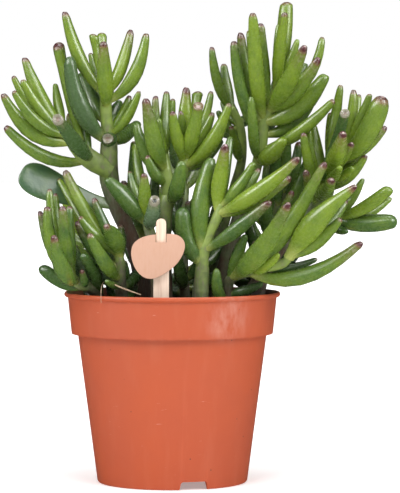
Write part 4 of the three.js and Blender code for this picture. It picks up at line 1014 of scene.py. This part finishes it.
def bendApart(leaves, stems):
    feet, home, width, bow, owner = (
        np.array([leaf[key] for leaf in leaves]) for key in ("foot", "home", "width", "bow", "stem"))
    shares = np.array(bending["places"])
    radii = width[:, None] / 2 * leafForm["girth"] * np.interp(shares, *bending["swell"])
    fixed, fixedRadii, fixedOwner = stemBalls(stems)
    pull = np.array([bending["pullSideways"], bending["pullInDepth"], bending["pullSideways"]])
    place = home.copy()

    def reaches():  # the tips, and the middle and radius of a ball that holds each leaf
        tips = seen(place)
        return tips, (tips + feet) / 2, np.linalg.norm(tips - feet, axis=1) / 2 + width

    tips, middle, reach = reaches()
    first, second = np.triu_indices(len(leaves), 1)
    apart = np.linalg.norm(middle[first] - middle[second], axis=1)
    kept = apart < reach[first] + reach[second] + bending["near"]
    first, second = first[kept], second[kept]
    low = np.minimum(shares[:, None], shares[None, :]) < bending["rooted"]
    rootedPair = (owner[first] == owner[second])[:, None, None] & low
    apart = np.linalg.norm(middle[:, None] - fixed[None], axis=2)
    leafOf, ballOf = np.nonzero(apart < reach[:, None] + fixedRadii[None] + bending["near"])
    rootedBall = (owner[leafOf] == fixedOwner[ballOf])[:, None] & (shares < bending["rooted"])
    for _ in range(bending["passes"]):
        tips, middle, reach = reaches()
        handles, _ = spinesOf(feet, tips, bow)
        balls = bowed(shares[None, :, None], feet[:, None], handles[:, None], tips[:, None])
        moves = holderMoves(balls, radii).sum(axis=1)
        close = np.linalg.norm(middle[first] - middle[second], axis=1) <= reach[first] + reach[second]
        i, j = first[close], second[close]
        room = radii[i][:, :, None] + radii[j][:, None, :] + bending["clearance"]
        pushes = pushesOf(balls[i][:, :, None] - balls[j][:, None, :], room, 0.5)  # half for each leaf
        pushes[rootedPair[close]] = 0
        np.add.at(moves, i, (pushes / shares[None, :, None, None]).sum(axis=(1, 2)))
        np.add.at(moves, j, -(pushes / shares[None, None, :, None]).sum(axis=(1, 2)))
        gap = np.linalg.norm(middle[leafOf] - fixed[ballOf], axis=1)
        close = gap <= reach[leafOf] + fixedRadii[ballOf]
        i, j = leafOf[close], ballOf[close]
        room = radii[i] + fixedRadii[j][:, None] + bending["clearance"]
        pushes = pushesOf(balls[i] - fixed[j][:, None], room, 1.0)
        pushes[rootedBall[close]] = 0
        np.add.at(moves, i, (pushes / shares[None, :, None]).sum(axis=1))
        size = np.linalg.norm(moves, axis=1, keepdims=True)
        place += moves * np.minimum(1, bending["step"] / np.maximum(size, 1e-9))
        place += (home - place) * pull
    for leaf, tip in zip(leaves, seen(place)):
        leaf["tip"] = tip


# Leaf and stem materials. They read the attribute growth: the way along, then the tip's hollow and the tone
# on a leaf, or the nodes' rings and the woodiness on a stem. A leaf's streaks read grain, its places in mm
# drawn out lengthwise.

leafLook = {
    "foot": (0.40, 0.45, 0.115), "young": (0.205, 0.30, 0.026), "old": (0.066, 0.134, 0.03),
    # deep is painted shade, for the darkest tones on leaves in shadow inside the plant.
    "deep": (0.042, 0.088, 0.02), "bloom": (0.13, 0.20, 0.105), "dot": (0.34, 0.44, 0.15),
    "olive": (0.16, 0.15, 0.045), "rust": (0.20, 0.075, 0.055), "rim": (0.085, 0.019, 0.028),
    # The pale patch colour is a painted highlight just under the tips.
    "paintedTipHighlight": (0.40, 0.43, 0.29), "hollow": (0.55, 0.42, 0.40), "disc": (0.27, 0.26, 0.19),
    # hole is painted shade inside a hollow tip.
    "hole": (0.05, 0.055, 0.04),
}
stemLook = {
    "green": (0.24, 0.33, 0.07), "dull": (0.085, 0.115, 0.045), "bark": (0.105, 0.06, 0.036),
    "crack": (0.035, 0.022, 0.012), "ring": (0.34, 0.37, 0.14), "scar": (0.24, 0.18, 0.11),
    "dry": (0.2, 0.17, 0.115),
}


def waxyMaterial(name, roughness, refraction, flesh, gloss):
    return newMaterial(
        name, Roughness=roughness, IOR=refraction, Subsurface_Weight=flesh, Subsurface_Scale=1.6 * mm,
        Subsurface_Radius=(0.5, 1.0, 0.25), Coat_Weight=0.5, Coat_Roughness=gloss)


def growthOf(tree):
    vector = addNode(tree, "Attribute", attribute_name="growth").outputs["Vector"]
    return addNode(tree, "SeparateXYZ", {"Vector": vector}).outputs


def leafMaterial():
    material, tree, shader = waxyMaterial("waxyLeaf", 0.26, 1.42, 0.12, 0.17)
    along, hollow, tone = growthOf(tree)
    place = objectPlace(tree)
    cloud = noiseOf(tree, place, 110, 3)
    fine = noiseOf(tree, place, 520, 3, 0.6)
    lengthwise = addNode(tree, "Attribute", attribute_name="grain").outputs["Vector"]
    streaks = noiseOf(tree, lengthwise, 1.1, 4, 0.6)
    pores = cellsOf(tree, place, 1250)
    ageAndShade = varied(tree, varied(tree, tone, cloud, 0.22), streaks, 0.16)
    ragged = varied(tree, varied(tree, along, streaks, 0.09), fine, 0.05)
    colour = tinted(tree, leafLook["young"], leafLook["old"], ageAndShade, 0, 1)
    # Painted shade: the darkest tones, on leaves in shadow deep in the plant, turn deep green.
    colour = tinted(tree, colour, leafLook["deep"], tone, 0.85, 1.05, 0, 0.75)
    colour = tinted(tree, colour, leafLook["bloom"], tone, 1.1, 1.3)
    colour = tinted(tree, colour, leafLook["foot"], along, 0.02, 0.27, 0.85, 0, "SMOOTHSTEP")
    colour = tinted(tree, colour, leafLook["dot"], pores, 0.22, 0.1, 0, 0.3)
    colour = tinted(tree, colour, leafLook["olive"], ragged, 0.84, 1.0, 0, 0.34, "SMOOTHSTEP")
    colour = tinted(tree, colour, leafLook["rust"], ragged, 0.98, 1.25, 0, 0.7, "SMOOTHSTEP")
    colour = tinted(tree, colour, leafLook["rim"], ragged, 1.2, 1.5, 0, 0.9, "SMOOTHSTEP")
    # Painted highlight: pale patches just under the tips.
    nearTip, highlightSpots = rangeOf(tree, ragged, 0.93, 1.1), rangeOf(tree, fine, 0.5, 0.62, 0, 0.3)
    colour = mixColour(tree, combine(tree, "MULTIPLY", nearTip, highlightSpots), colour, leafLook["paintedTipHighlight"])
    inside = tinted(tree, leafLook["hollow"], leafLook["rust"], tone, 0.2, 0.9)
    inside = tinted(tree, inside, leafLook["disc"], tone, 1.02, 1.06, 0, 0.6)
    # Painted shade inside the hollow of tips with tones past 1.25.
    inside = tinted(tree, inside, leafLook["hole"], tone, 1.25, 1.35)
    stubby, cut = rangeOf(tree, tone, 1.02, 1.06), rangeOf(tree, ragged, 1.02, 1.12, 0, 0.85)
    colour = mixColour(tree, combine(tree, "MULTIPLY", stubby, cut), colour, leafLook["disc"])
    colour = tinted(tree, colour, inside, hollow, 0.3, 0.7, 0, 1, "SMOOTHSTEP")
    tree.links.new(colour, shader.inputs["Base Color"])
    tree.links.new(rangeOf(tree, fine, 0.3, 0.7, 0.2, 0.34), shader.inputs["Roughness"])
    bump = bumpOn(tree, cloud, 0.6 * mm, 0.45)
    bump = bumpOn(tree, streaks, 0.5 * mm, 0.45, bump)
    bump = bumpOn(tree, fine, 0.3 * mm, 0.42, bump)
    tree.links.new(bumpOn(tree, pores, 0.22 * mm, 0.45, bump), shader.inputs["Normal"])
    return material


def stemMaterial():
    material, tree, shader = newMaterial("stemBark", Roughness=0.6)
    _, ring, wood = growthOf(tree)
    place = objectPlace(tree)
    cloud = noiseOf(tree, place, 140, 4)
    cracks = noiseOf(tree, objectPlace(tree, (1, 1, 0.22)), 900, 5, 0.7)
    # The woodiness, partly painted shade at the stems' feet and inside the plant.
    ageAndShade = varied(tree, wood, cloud, 0.2)
    rough = rangeOf(tree, ageAndShade, 0.35, 0.8)
    colour = tinted(tree, stemLook["green"], stemLook["dull"], ageAndShade, 0.1, 0.5)
    colour = tinted(tree, colour, stemLook["bark"], ageAndShade, 0.45, 0.8, 0, 1, "SMOOTHSTEP")
    flakes, barky = rangeOf(tree, cracks, 0.5, 0.6, 0, 0.75), rangeOf(tree, ageAndShade, 0.15, 0.35)
    colour = mixColour(tree, combine(tree, "MULTIPLY", flakes, barky), colour, stemLook["dry"])
    deep = rangeOf(tree, cracks, 0.52, 0.66, 0, 0.8)
    colour = mixColour(tree, combine(tree, "MULTIPLY", deep, rough), colour, stemLook["crack"])
    pale = mixColour(tree, rough, stemLook["ring"], stemLook["scar"])
    colour = tinted(tree, colour, pale, ring, 0.2, 0.9, 0, 0.12)
    tree.links.new(colour, shader.inputs["Base Color"])
    tree.links.new(rangeOf(tree, ageAndShade, 0.1, 0.8, 0.38, 0.85), shader.inputs["Roughness"])
    bump = bumpOn(tree, cracks, 0.35 * mm, 0.6)
    tree.links.new(bumpOn(tree, cloud, 0.6 * mm, 0.4, bump), shader.inputs["Normal"])
    return material


# Leaf and stem shapes

def makeMasterLeaf(kind):  # its half width and its length are one, its cap is past 1
    rings, (capRings, hollowRings) = leafRings[kind], leafCaps[kind]
    leaf = startTube(leafForm["sides"], *rings[0])
    leaf.name = kind
    hollow = leaf.vertex_groups.new(name="hollow")
    selectTop(leaf)
    raiseTop(*rings[0], rings[1:] + capRings)
    bpy.context.scene.tool_settings.vertex_group_weight = leafForm["rimWeight"]
    bpy.ops.object.vertex_group_assign()
    raiseTop(*capRings[-1], hollowRings)
    bpy.context.scene.tool_settings.vertex_group_weight = 1
    bpy.ops.object.vertex_group_assign()
    bpy.ops.mesh.poke()
    bpy.ops.object.vertex_group_assign()
    bpy.ops.object.mode_set(mode="OBJECT")
    weights = [sum(group.weight for group in vertex.groups if group.group == hollow.index)
               for vertex in leaf.data.vertices]
    return leaf, np.array(weights)


def makeMasterStem():  # its radius and its length are one, its rounded end is past 1
    rings = stemForm["rings"]
    stem = startTube(stemForm["sides"], 1, 1 / rings)
    selectTop(stem)
    raiseTop(1, 1 / rings, [(1, ring / rings) for ring in range(2, rings + 1)] + stemForm["end"])
    bpy.ops.mesh.poke()
    bpy.ops.object.mode_set(mode="OBJECT")
    return stem


def cornersOf(mesh):
    corners = np.empty(len(mesh.vertices) * 3)
    mesh.vertices.foreach_get("co", corners)
    return corners.reshape(-1, 3)


def shapedCopy(master, corners, growth, grain):  # a copy with its own mesh, its corners in mm
    copy = master.copy()
    copy.data = master.data.copy()
    copy.vertex_groups.clear()
    copy.data.vertices.foreach_set("co", (corners * mm).ravel())
    for name, values in (("growth", growth), ("grain", grain)):
        attribute = copy.data.attributes.new(name, "FLOAT_VECTOR", "POINT")
        attribute.data.foreach_set("vector", values.ravel())
    copy.data.update()
    bpy.context.collection.objects.link(copy)
    return copy


def growLeaf(master, weights, leaf, chance):
    corners = cornersOf(master.data)
    across, up, place = corners.T
    foot, tip, kind = leaf["foot"], leaf["tip"], leaf["kind"]
    half = leaf["width"] / 2 * leafForm["girth"] * leafForm["fullness"]
    handle, under = spinesOf(foot, tip, np.array(leaf["bow"]))
    length = np.linalg.norm(tip - foot)
    capShare = (leafCaps[kind][0][-1][1] - 1) * half / length
    t = (np.minimum(place, 1) * (1 - capShare))[:, None]
    middle, ways = bowed(t, foot, handle, tip), bowedWays(t, foot, handle, tip)
    upper = -square(under, ways)
    side = np.cross(upper, ways)
    phase = [chance.uniform(0, 2 * math.pi) for _ in range(4)]
    turn = np.arctan2(up, across)
    size, slow, quick = leafForm["swells"]
    swell = 1 + size * (np.sin(slow * place + phase[0]) + 0.6 * np.sin(quick * place + phase[3]))
    size, folds, twist = leafForm["dents"]
    swell += size * np.sin(folds * turn + phase[1] + twist * place) * np.minimum(1, 3 * place)
    size, waves = leafForm["wobble"]
    drift = size * half * np.sin(math.pi * np.minimum(place, 1)) * np.sin(waves * place + phase[2])
    wide = across * half * swell + drift
    thick = up * half * leafForm["flatness"] * swell
    if kind in ("full", "slim") and leaf["blush"] < 1:  # red tips are about as wide on all leaves
        share = min(1, leafForm["tipWidth"] / leafRings[kind][-1][0] / half / 2)
        narrow = np.interp(place, (leafForm["narrowFrom"], 1), (1, share))
        wide, thick = wide * narrow, thick * narrow
    slope = chance.uniform(*leafForm["tipSlope"]) * thick
    if leaf["tipKind"] in ("open", "knob"):  # these face forward
        slope = -leafForm["openSlope"] * (side[:, 1] * wide + upper[:, 1] * thick)
    slope *= np.interp(place, (leafForm["slopeFrom"], 1), (0, 1))
    onward = np.maximum(place - 1, 0) * half * chance.uniform(*leafForm["capLength"]) - slope
    shaped = middle + side * wide[:, None] + upper * thick[:, None] + ways * onward[:, None]
    tone = np.full(len(place), leaf["tone"])
    redPlace = np.where(place > 0.5, np.maximum(place - leaf["blush"], 0.5), place)
    growth = np.stack([redPlace, weights * (leaf["blush"] < 1), tone], axis=1)
    lengthwise = place * length * leafForm["grain"] + leafForm["grainStep"] * leaf["number"]
    return shapedCopy(master, shaped, growth, np.stack([across * half, up * half, lengthwise], axis=1))


def growStem(master, stem, wood, nodes, chance):
    corners = cornersOf(master.data)
    across, up, place = corners.T
    shares = np.minimum(place, 1)
    middle, ways = alongStem(stem, shares), stemWays(stem, shares)
    front = square(np.array([0, -1.0, 0]) + 0 * ways, ways)
    side = np.cross(front, ways)
    length = stemLength(stem)
    ring = np.zeros(len(place))
    for node in nodes:
        ring = np.maximum(ring, np.exp(-((shares - node) * length / stemForm["ringWidth"]) ** 2))
    turn = np.arctan2(up, across)
    phase = chance.uniform(0, 2 * math.pi)
    (size, folds, twist), (swells, waves) = stemForm["dents"], stemForm["swells"]
    lumps = 1 + size * np.sin(folds * turn + phase + twist * shares) + swells * np.sin(waves * shares + phase)
    radius = stemRadii(stem, shares) * lumps * (1 + stemForm["ringSwell"] * ring)
    onward = np.maximum(place - 1, 0) * radius
    shaped = (middle + side * (across * radius)[:, None] + front * (up * radius)[:, None]
              + ways * onward[:, None])
    woody = np.interp(shares, (0, 1), wood)
    growth = np.stack([shares, ring, woody], axis=1)
    return shapedCopy(master, shaped, growth, shaped)


def toneOf(leaf, chance):
    tones = leafTones.get(leaf["shoot"])
    if not tones:
        drift = chance.uniform(-toning["backDrift"], toning["backDrift"])
        return min(1, max(0, toning["backFoot"] - toning["backFall"] * leaf["place"] + drift))
    tone = tones[leaf["number"]] + chance.uniform(-toning["drift"], toning["drift"])
    # Painted shade and light by height: lower leaves darker, higher ones paler.
    if tone < toning["green"]:
        tone += np.interp(leaf["home"][2], toning["heights"], toning["shadeShifts"])
    return max(0, tone)


def tipOf(leaf, chance):
    common = chance.choice(("red", "round", "round", "faint"))
    return tipKinds.get(leaf["shoot"], {}).get(leaf["number"], common)


def dressLeaf(leaf, chance):
    leaf["tone"] = toneOf(leaf, chance)
    leaf["tipKind"] = tipOf(leaf, chance)
    drift = chance.uniform(-leafForm["blushDrift"], leafForm["blushDrift"])
    leaf["blush"] = tipBlush[leaf["tipKind"]] + drift
    common = "slim" if leaf["width"] < leafForm["slimWidth"] else "full"
    leaf["kind"] = tipShapes.get(leaf["tipKind"], common)


def layOutLeaves(stems):
    order = list(stems)
    leaves = []
    for name, shoot in shoots.items():
        for number, (place, across, depth, height, width, bow) in enumerate(shoot["leaves"]):
            leaves.append({
                "shoot": name, "number": number, "stem": order.index(name), "place": place,
                "foot": alongStem(stems[name], place)[0], "home": (across, depth, height), "width": width,
                "bow": bow,
            })
    bendApart(leaves, list(stems.values()))
    print("bent", len(leaves), "leaves clear of each other")
    return leaves


def growTrunk(name, stem, master, chance):
    places = np.arange(stemForm["firstNode"], 1, stemForm["nodeSpacing"] / stemLength(stem))
    drift = stemForm["nodeDrift"]
    nodes = [place + chance.uniform(-drift, drift) for place in places]
    trunk = growStem(master, stem, woodinessAndShade[name], nodes, chance)
    finishPiece(trunk, name + "_bark", None, [name], 0)


def growShoot(name, stem, leaves, masters, masterStem, chance):
    grown = []
    for leaf in leaves:
        dressLeaf(leaf, chance)
        grown.append(growLeaf(*masters[leaf["kind"]], leaf, chance))
    for place, across, depth, height, width in stubs.get(name, ()):
        stub = {
            "foot": alongStem(stem, place)[0], "tip": seen((across, depth, height)), "width": width, "bow": 0,
            "kind": "open", "tipKind": "open", "tone": leafForm["stubTone"], "blush": 0, "number": 0,
        }
        grown.append(growLeaf(*masters["open"], stub, chance))
    steps = stemForm["nodeSteps"]
    nodes = sorted({round(leaf["place"] * steps) / steps for leaf in leaves})
    shoot = growStem(masterStem, stem, woodinessAndShade[name], nodes, chance)
    pick(shoot, *grown)
    bpy.ops.object.join()
    finishPiece(shoot, name + "_grown", None, [name], 50)


def growPlant():
    chance = random.Random(leafForm["seed"])
    masters = {kind: makeMasterLeaf(kind) for kind in leafRings}
    masterStem = makeMasterStem()
    leafSkin, stemSkin = leafMaterial(), stemMaterial()
    for master, _ in masters.values():
        master.data.materials.append(leafSkin)
    masterStem.data.materials.append(stemSkin)
    for face in masterStem.data.polygons:
        face.use_smooth = True
    stems = {name: makeStem(rows) for name, rows in trunks.items()}
    stems.update({name: makeStem(shoot["stem"]) for name, shoot in shoots.items()})
    leaves = layOutLeaves(stems)
    for name in trunks:
        growTrunk(name, stems[name], masterStem, chance)
    for name in shoots:
        own = [leaf for leaf in leaves if leaf["shoot"] == name]
        growShoot(name, stems[name], own, masters, masterStem, chance)
    for master, _ in masters.values():
        bpy.data.objects.remove(master)
    bpy.data.objects.remove(masterStem)


growPlant()
print("plant grown")

# Broad leaf

blade = {  # its rings as in the master leaves
    "foot": (-33, -1, 154), "middle": (-57, -4, 157.4), "tip": (-84, -6, 172.2), "width": 20,
    "thickness": 4.4, "fullness": 0.8, "dish": 0.12, "sides": 24, "rise": (0.1, 0.35, 1),
    "rings": [
        (0.30, 0.03), (0.34, 0.14), (0.44, 0.28), (0.62, 0.42), (0.80, 0.56), (0.93, 0.68), (1.0, 0.79),
        (0.96, 0.88), (0.82, 0.945), (0.58, 0.985), (0.3, 1.0),
    ],
}
bladeLook = {"face": (0.06, 0.125, 0.06), "foot": (0.13, 0.19, 0.08), "edge": (0.07, 0.13, 0.04)}


def bladeMaterial():
    material, tree, shader = waxyMaterial("waxyBroadLeaf", 0.28, 1.45, 0.1, 0.13)
    along, edge, _ = growthOf(tree)
    place = objectPlace(tree)
    cloud = noiseOf(tree, place, 90, 3)
    fine = noiseOf(tree, place, 480, 3)
    colour = tinted(tree, bladeLook["face"], bladeLook["foot"], along, 0.02, 0.4, 1, 0)
    colour = tinted(tree, colour, leafLook["young"], cloud, 0.4, 0.75, 0, 0.3)
    colour = tinted(tree, colour, bladeLook["edge"], edge, 0.86, 0.98, 0, 0.7)
    tree.links.new(colour, shader.inputs["Base Color"])
    bump = bumpOn(tree, cloud, 1.2 * mm, 0.5)
    tree.links.new(bumpOn(tree, fine, 0.3 * mm, 0.6, bump), shader.inputs["Normal"])
    return material


def makeBlade():  # a tube pressed to a lens across its spine and a little dished
    master = startTube(blade["sides"], *blade["rings"][0])
    selectTop(master)
    raiseTop(*blade["rings"][0], blade["rings"][1:])
    bpy.ops.mesh.poke()
    bpy.ops.object.mode_set(mode="OBJECT")
    across, up, place = cornersOf(master.data).T
    spine = [seen(blade[end]) for end in ("foot", "middle", "tip")]
    middle, ways = bowed(place[:, None], *spine), bowedWays(place[:, None], *spine)
    rise = square(np.array(blade["rise"]) + 0 * ways, ways)
    face = np.cross(ways, rise)
    size = np.hypot(across, up)
    edge = np.abs(across) / np.maximum(size, 0.01)
    # A lens across, fuller near the foot and the tip, where the tube is narrow
    lens = np.sign(up) * np.abs(up) ** 0.9 * (0.55 + 0.45 / np.maximum(size, 0.3) * 0.5)
    dish = -blade["dish"] * edge ** 2 * np.interp(place, (0, 0.4, 1), (0, 1, 1))
    wide = across * blade["width"] / 2
    thick = (lens * blade["fullness"] + dish) * blade["thickness"] / 2
    shaped = middle + rise * wide[:, None] + face * thick[:, None]
    leaf = shapedCopy(master, shaped, np.stack([place, edge, place], axis=1), shaped)
    bpy.data.objects.remove(master)
    applyModifier(leaf, "SUBSURF", levels=1, render_levels=1)
    finishPiece(leaf, "leaf_broad_grown", bladeMaterial(), ["leaf_broad"], 80)


makeBlade()
print("broad leaf made")

# Dry strands over the lip

strands = {  # radius, and points as in the layout
    "hanging": (0.24, [(-38, -34, 111), (-39.4, -43, 110), (-40, -49, 106), (-39.6, -48, 99)]),
    "crossing": (0.3, [(-29, -46, 108), (-26, -50, 107.4), (-22, -53, 105), (-17.4, -52, 103.6)]),
    "flat": (0.6, [(-37, -34, 112), (-31, -40, 108.6), (-26, -45, 106.4), (-17.5, -50, 103.8)]),
}
strandTip = 0.35  # the ends' share of the radius
strawLook = {"dry": (0.52, 0.38, 0.25), "dark": (0.28, 0.17, 0.10)}


def strawMaterial():
    material, tree, shader = newMaterial("dryStraw", Roughness=0.7)
    streaks = noiseOf(tree, objectPlace(tree), 700, 3)
    colour = tinted(tree, strawLook["dry"], strawLook["dark"], streaks, 0.4, 0.65)
    tree.links.new(colour, shader.inputs["Base Color"])
    tree.links.new(bumpOn(tree, streaks, 0.1 * mm, 0.6), shader.inputs["Normal"])
    return material


def makeStrands():
    straw = strawMaterial()
    for name, (radius, places) in strands.items():
        curve = bpy.data.curves.new(name, "CURVE")
        curve.dimensions = "3D"
        curve.bevel_depth = radius * mm
        curve.bevel_resolution = 2
        curve.use_fill_caps = True
        spline = curve.splines.new("NURBS")
        spline.points.add(len(places) - 1)
        spline.order_u = 4
        spline.resolution_u = 8
        spline.use_endpoint_u = True
        for point, place in zip(spline.points, places):
            point.co = (*(seen(place) * mm), 1)
        spline.points[0].radius = spline.points[-1].radius = strandTip
        finishPiece(curveToMesh(name, curve), "dry_strand_" + name, straw, (), 60)


makeStrands()
print("dry strands laid")

# Floor, light and camera

stage = {  # in metres
    "floorRadius": 14, "floorTone": (0.9, 0.9, 0.9), "floorShade": (0.8, 0.8, 0.8), "floorGlow": 0.3,
    "backdrop": 1.0, "sky": 0.31, "mirrored": 0.05,
    "lights": {  # where each light comes from, its strength and its spread in degrees
        "softLeft": ((-0.8, -1.0, 1.2), 1.5, 40), "softRight": ((0.8, -1.0, 0.95), 1.6, 36),
        "top": ((0.1, 0.1, 1.5), 1.25, 30), "glint": ((-0.35, -1.1, 1.0), 0.25, 3),
        "stripLeft": ((-1.0, -0.45, 0.55), 2.8, 32), "stripRight": ((1.0, -0.45, 0.55), 2.8, 32),
    },
    "onlyGloss": ("stripLeft", "stripRight"),  # these show in the leaves' gloss alone
    "camera": {"place": (0.0154, -1.4, 0.182), "aim": (0.0154, 0, 0.1306), "lens": 184, "sensor": 36},
}


def aimAt(thing, target):
    thing.rotation_euler = (Vector(target) - thing.location).to_track_quat("-Z", "Y").to_euler()


def makeFloor():
    bpy.ops.object.select_all(action="DESELECT")
    bpy.ops.mesh.primitive_circle_add(
        vertices=96, radius=stage["floorRadius"], fill_type="NGON", location=(0, 0, -0.2 * mm))
    floor = bpy.context.object
    floor.name = "floor"
    material, tree, shader = newMaterial("paleFloor", Roughness=0.8)
    cloud = noiseOf(tree, objectPlace(tree), 6, 2)
    tone = tinted(tree, stage["floorTone"], stage["floorShade"], cloud, 0.3, 0.7, 0, 0.03)
    tree.links.new(tone, shader.inputs["Base Color"])
    shader.inputs["Emission Color"].default_value = (1, 1, 1, 1)
    shader.inputs["Emission Strength"].default_value = stage["floorGlow"]
    floor.data.materials.append(material)
    floor.visible_glossy = False


def makeSky():  # it shows white, lights softly and mirrors faintly
    world = bpy.data.worlds.new("studio")
    world.use_nodes = True
    tree = world.node_tree
    background = tree.nodes["Background"]
    background.inputs["Color"].default_value = (1, 1, 1, 1)
    path = addNode(tree, "LightPath").outputs
    strength = rangeOf(tree, path["Is Glossy Ray"], 0, 1, stage["sky"], stage["mirrored"])
    strength = rangeOf(tree, path["Is Camera Ray"], 0, 1, strength, stage["backdrop"])
    tree.links.new(strength, background.inputs["Strength"])
    bpy.context.scene.world = world


def makeLights():
    for name, (place, strength, spread) in stage["lights"].items():
        bpy.ops.object.light_add(type="SUN", location=place)
        light = bpy.context.object
        light.name = name
        light.data.energy = strength
        light.data.angle = math.radians(spread)
        light.visible_diffuse = name not in stage["onlyGloss"]
        aimAt(light, (0, 0, 0))


def makeCamera():
    bpy.ops.object.camera_add(location=stage["camera"]["place"])
    camera = bpy.context.object
    aimAt(camera, stage["camera"]["aim"])
    camera.data.lens = stage["camera"]["lens"]
    camera.data.sensor_width = stage["camera"]["sensor"]
    bpy.context.scene.camera = camera
    bpy.context.scene.view_settings.view_transform = "Standard"


makeFloor()
makeSky()
makeLights()
makeCamera()
print("stage set")
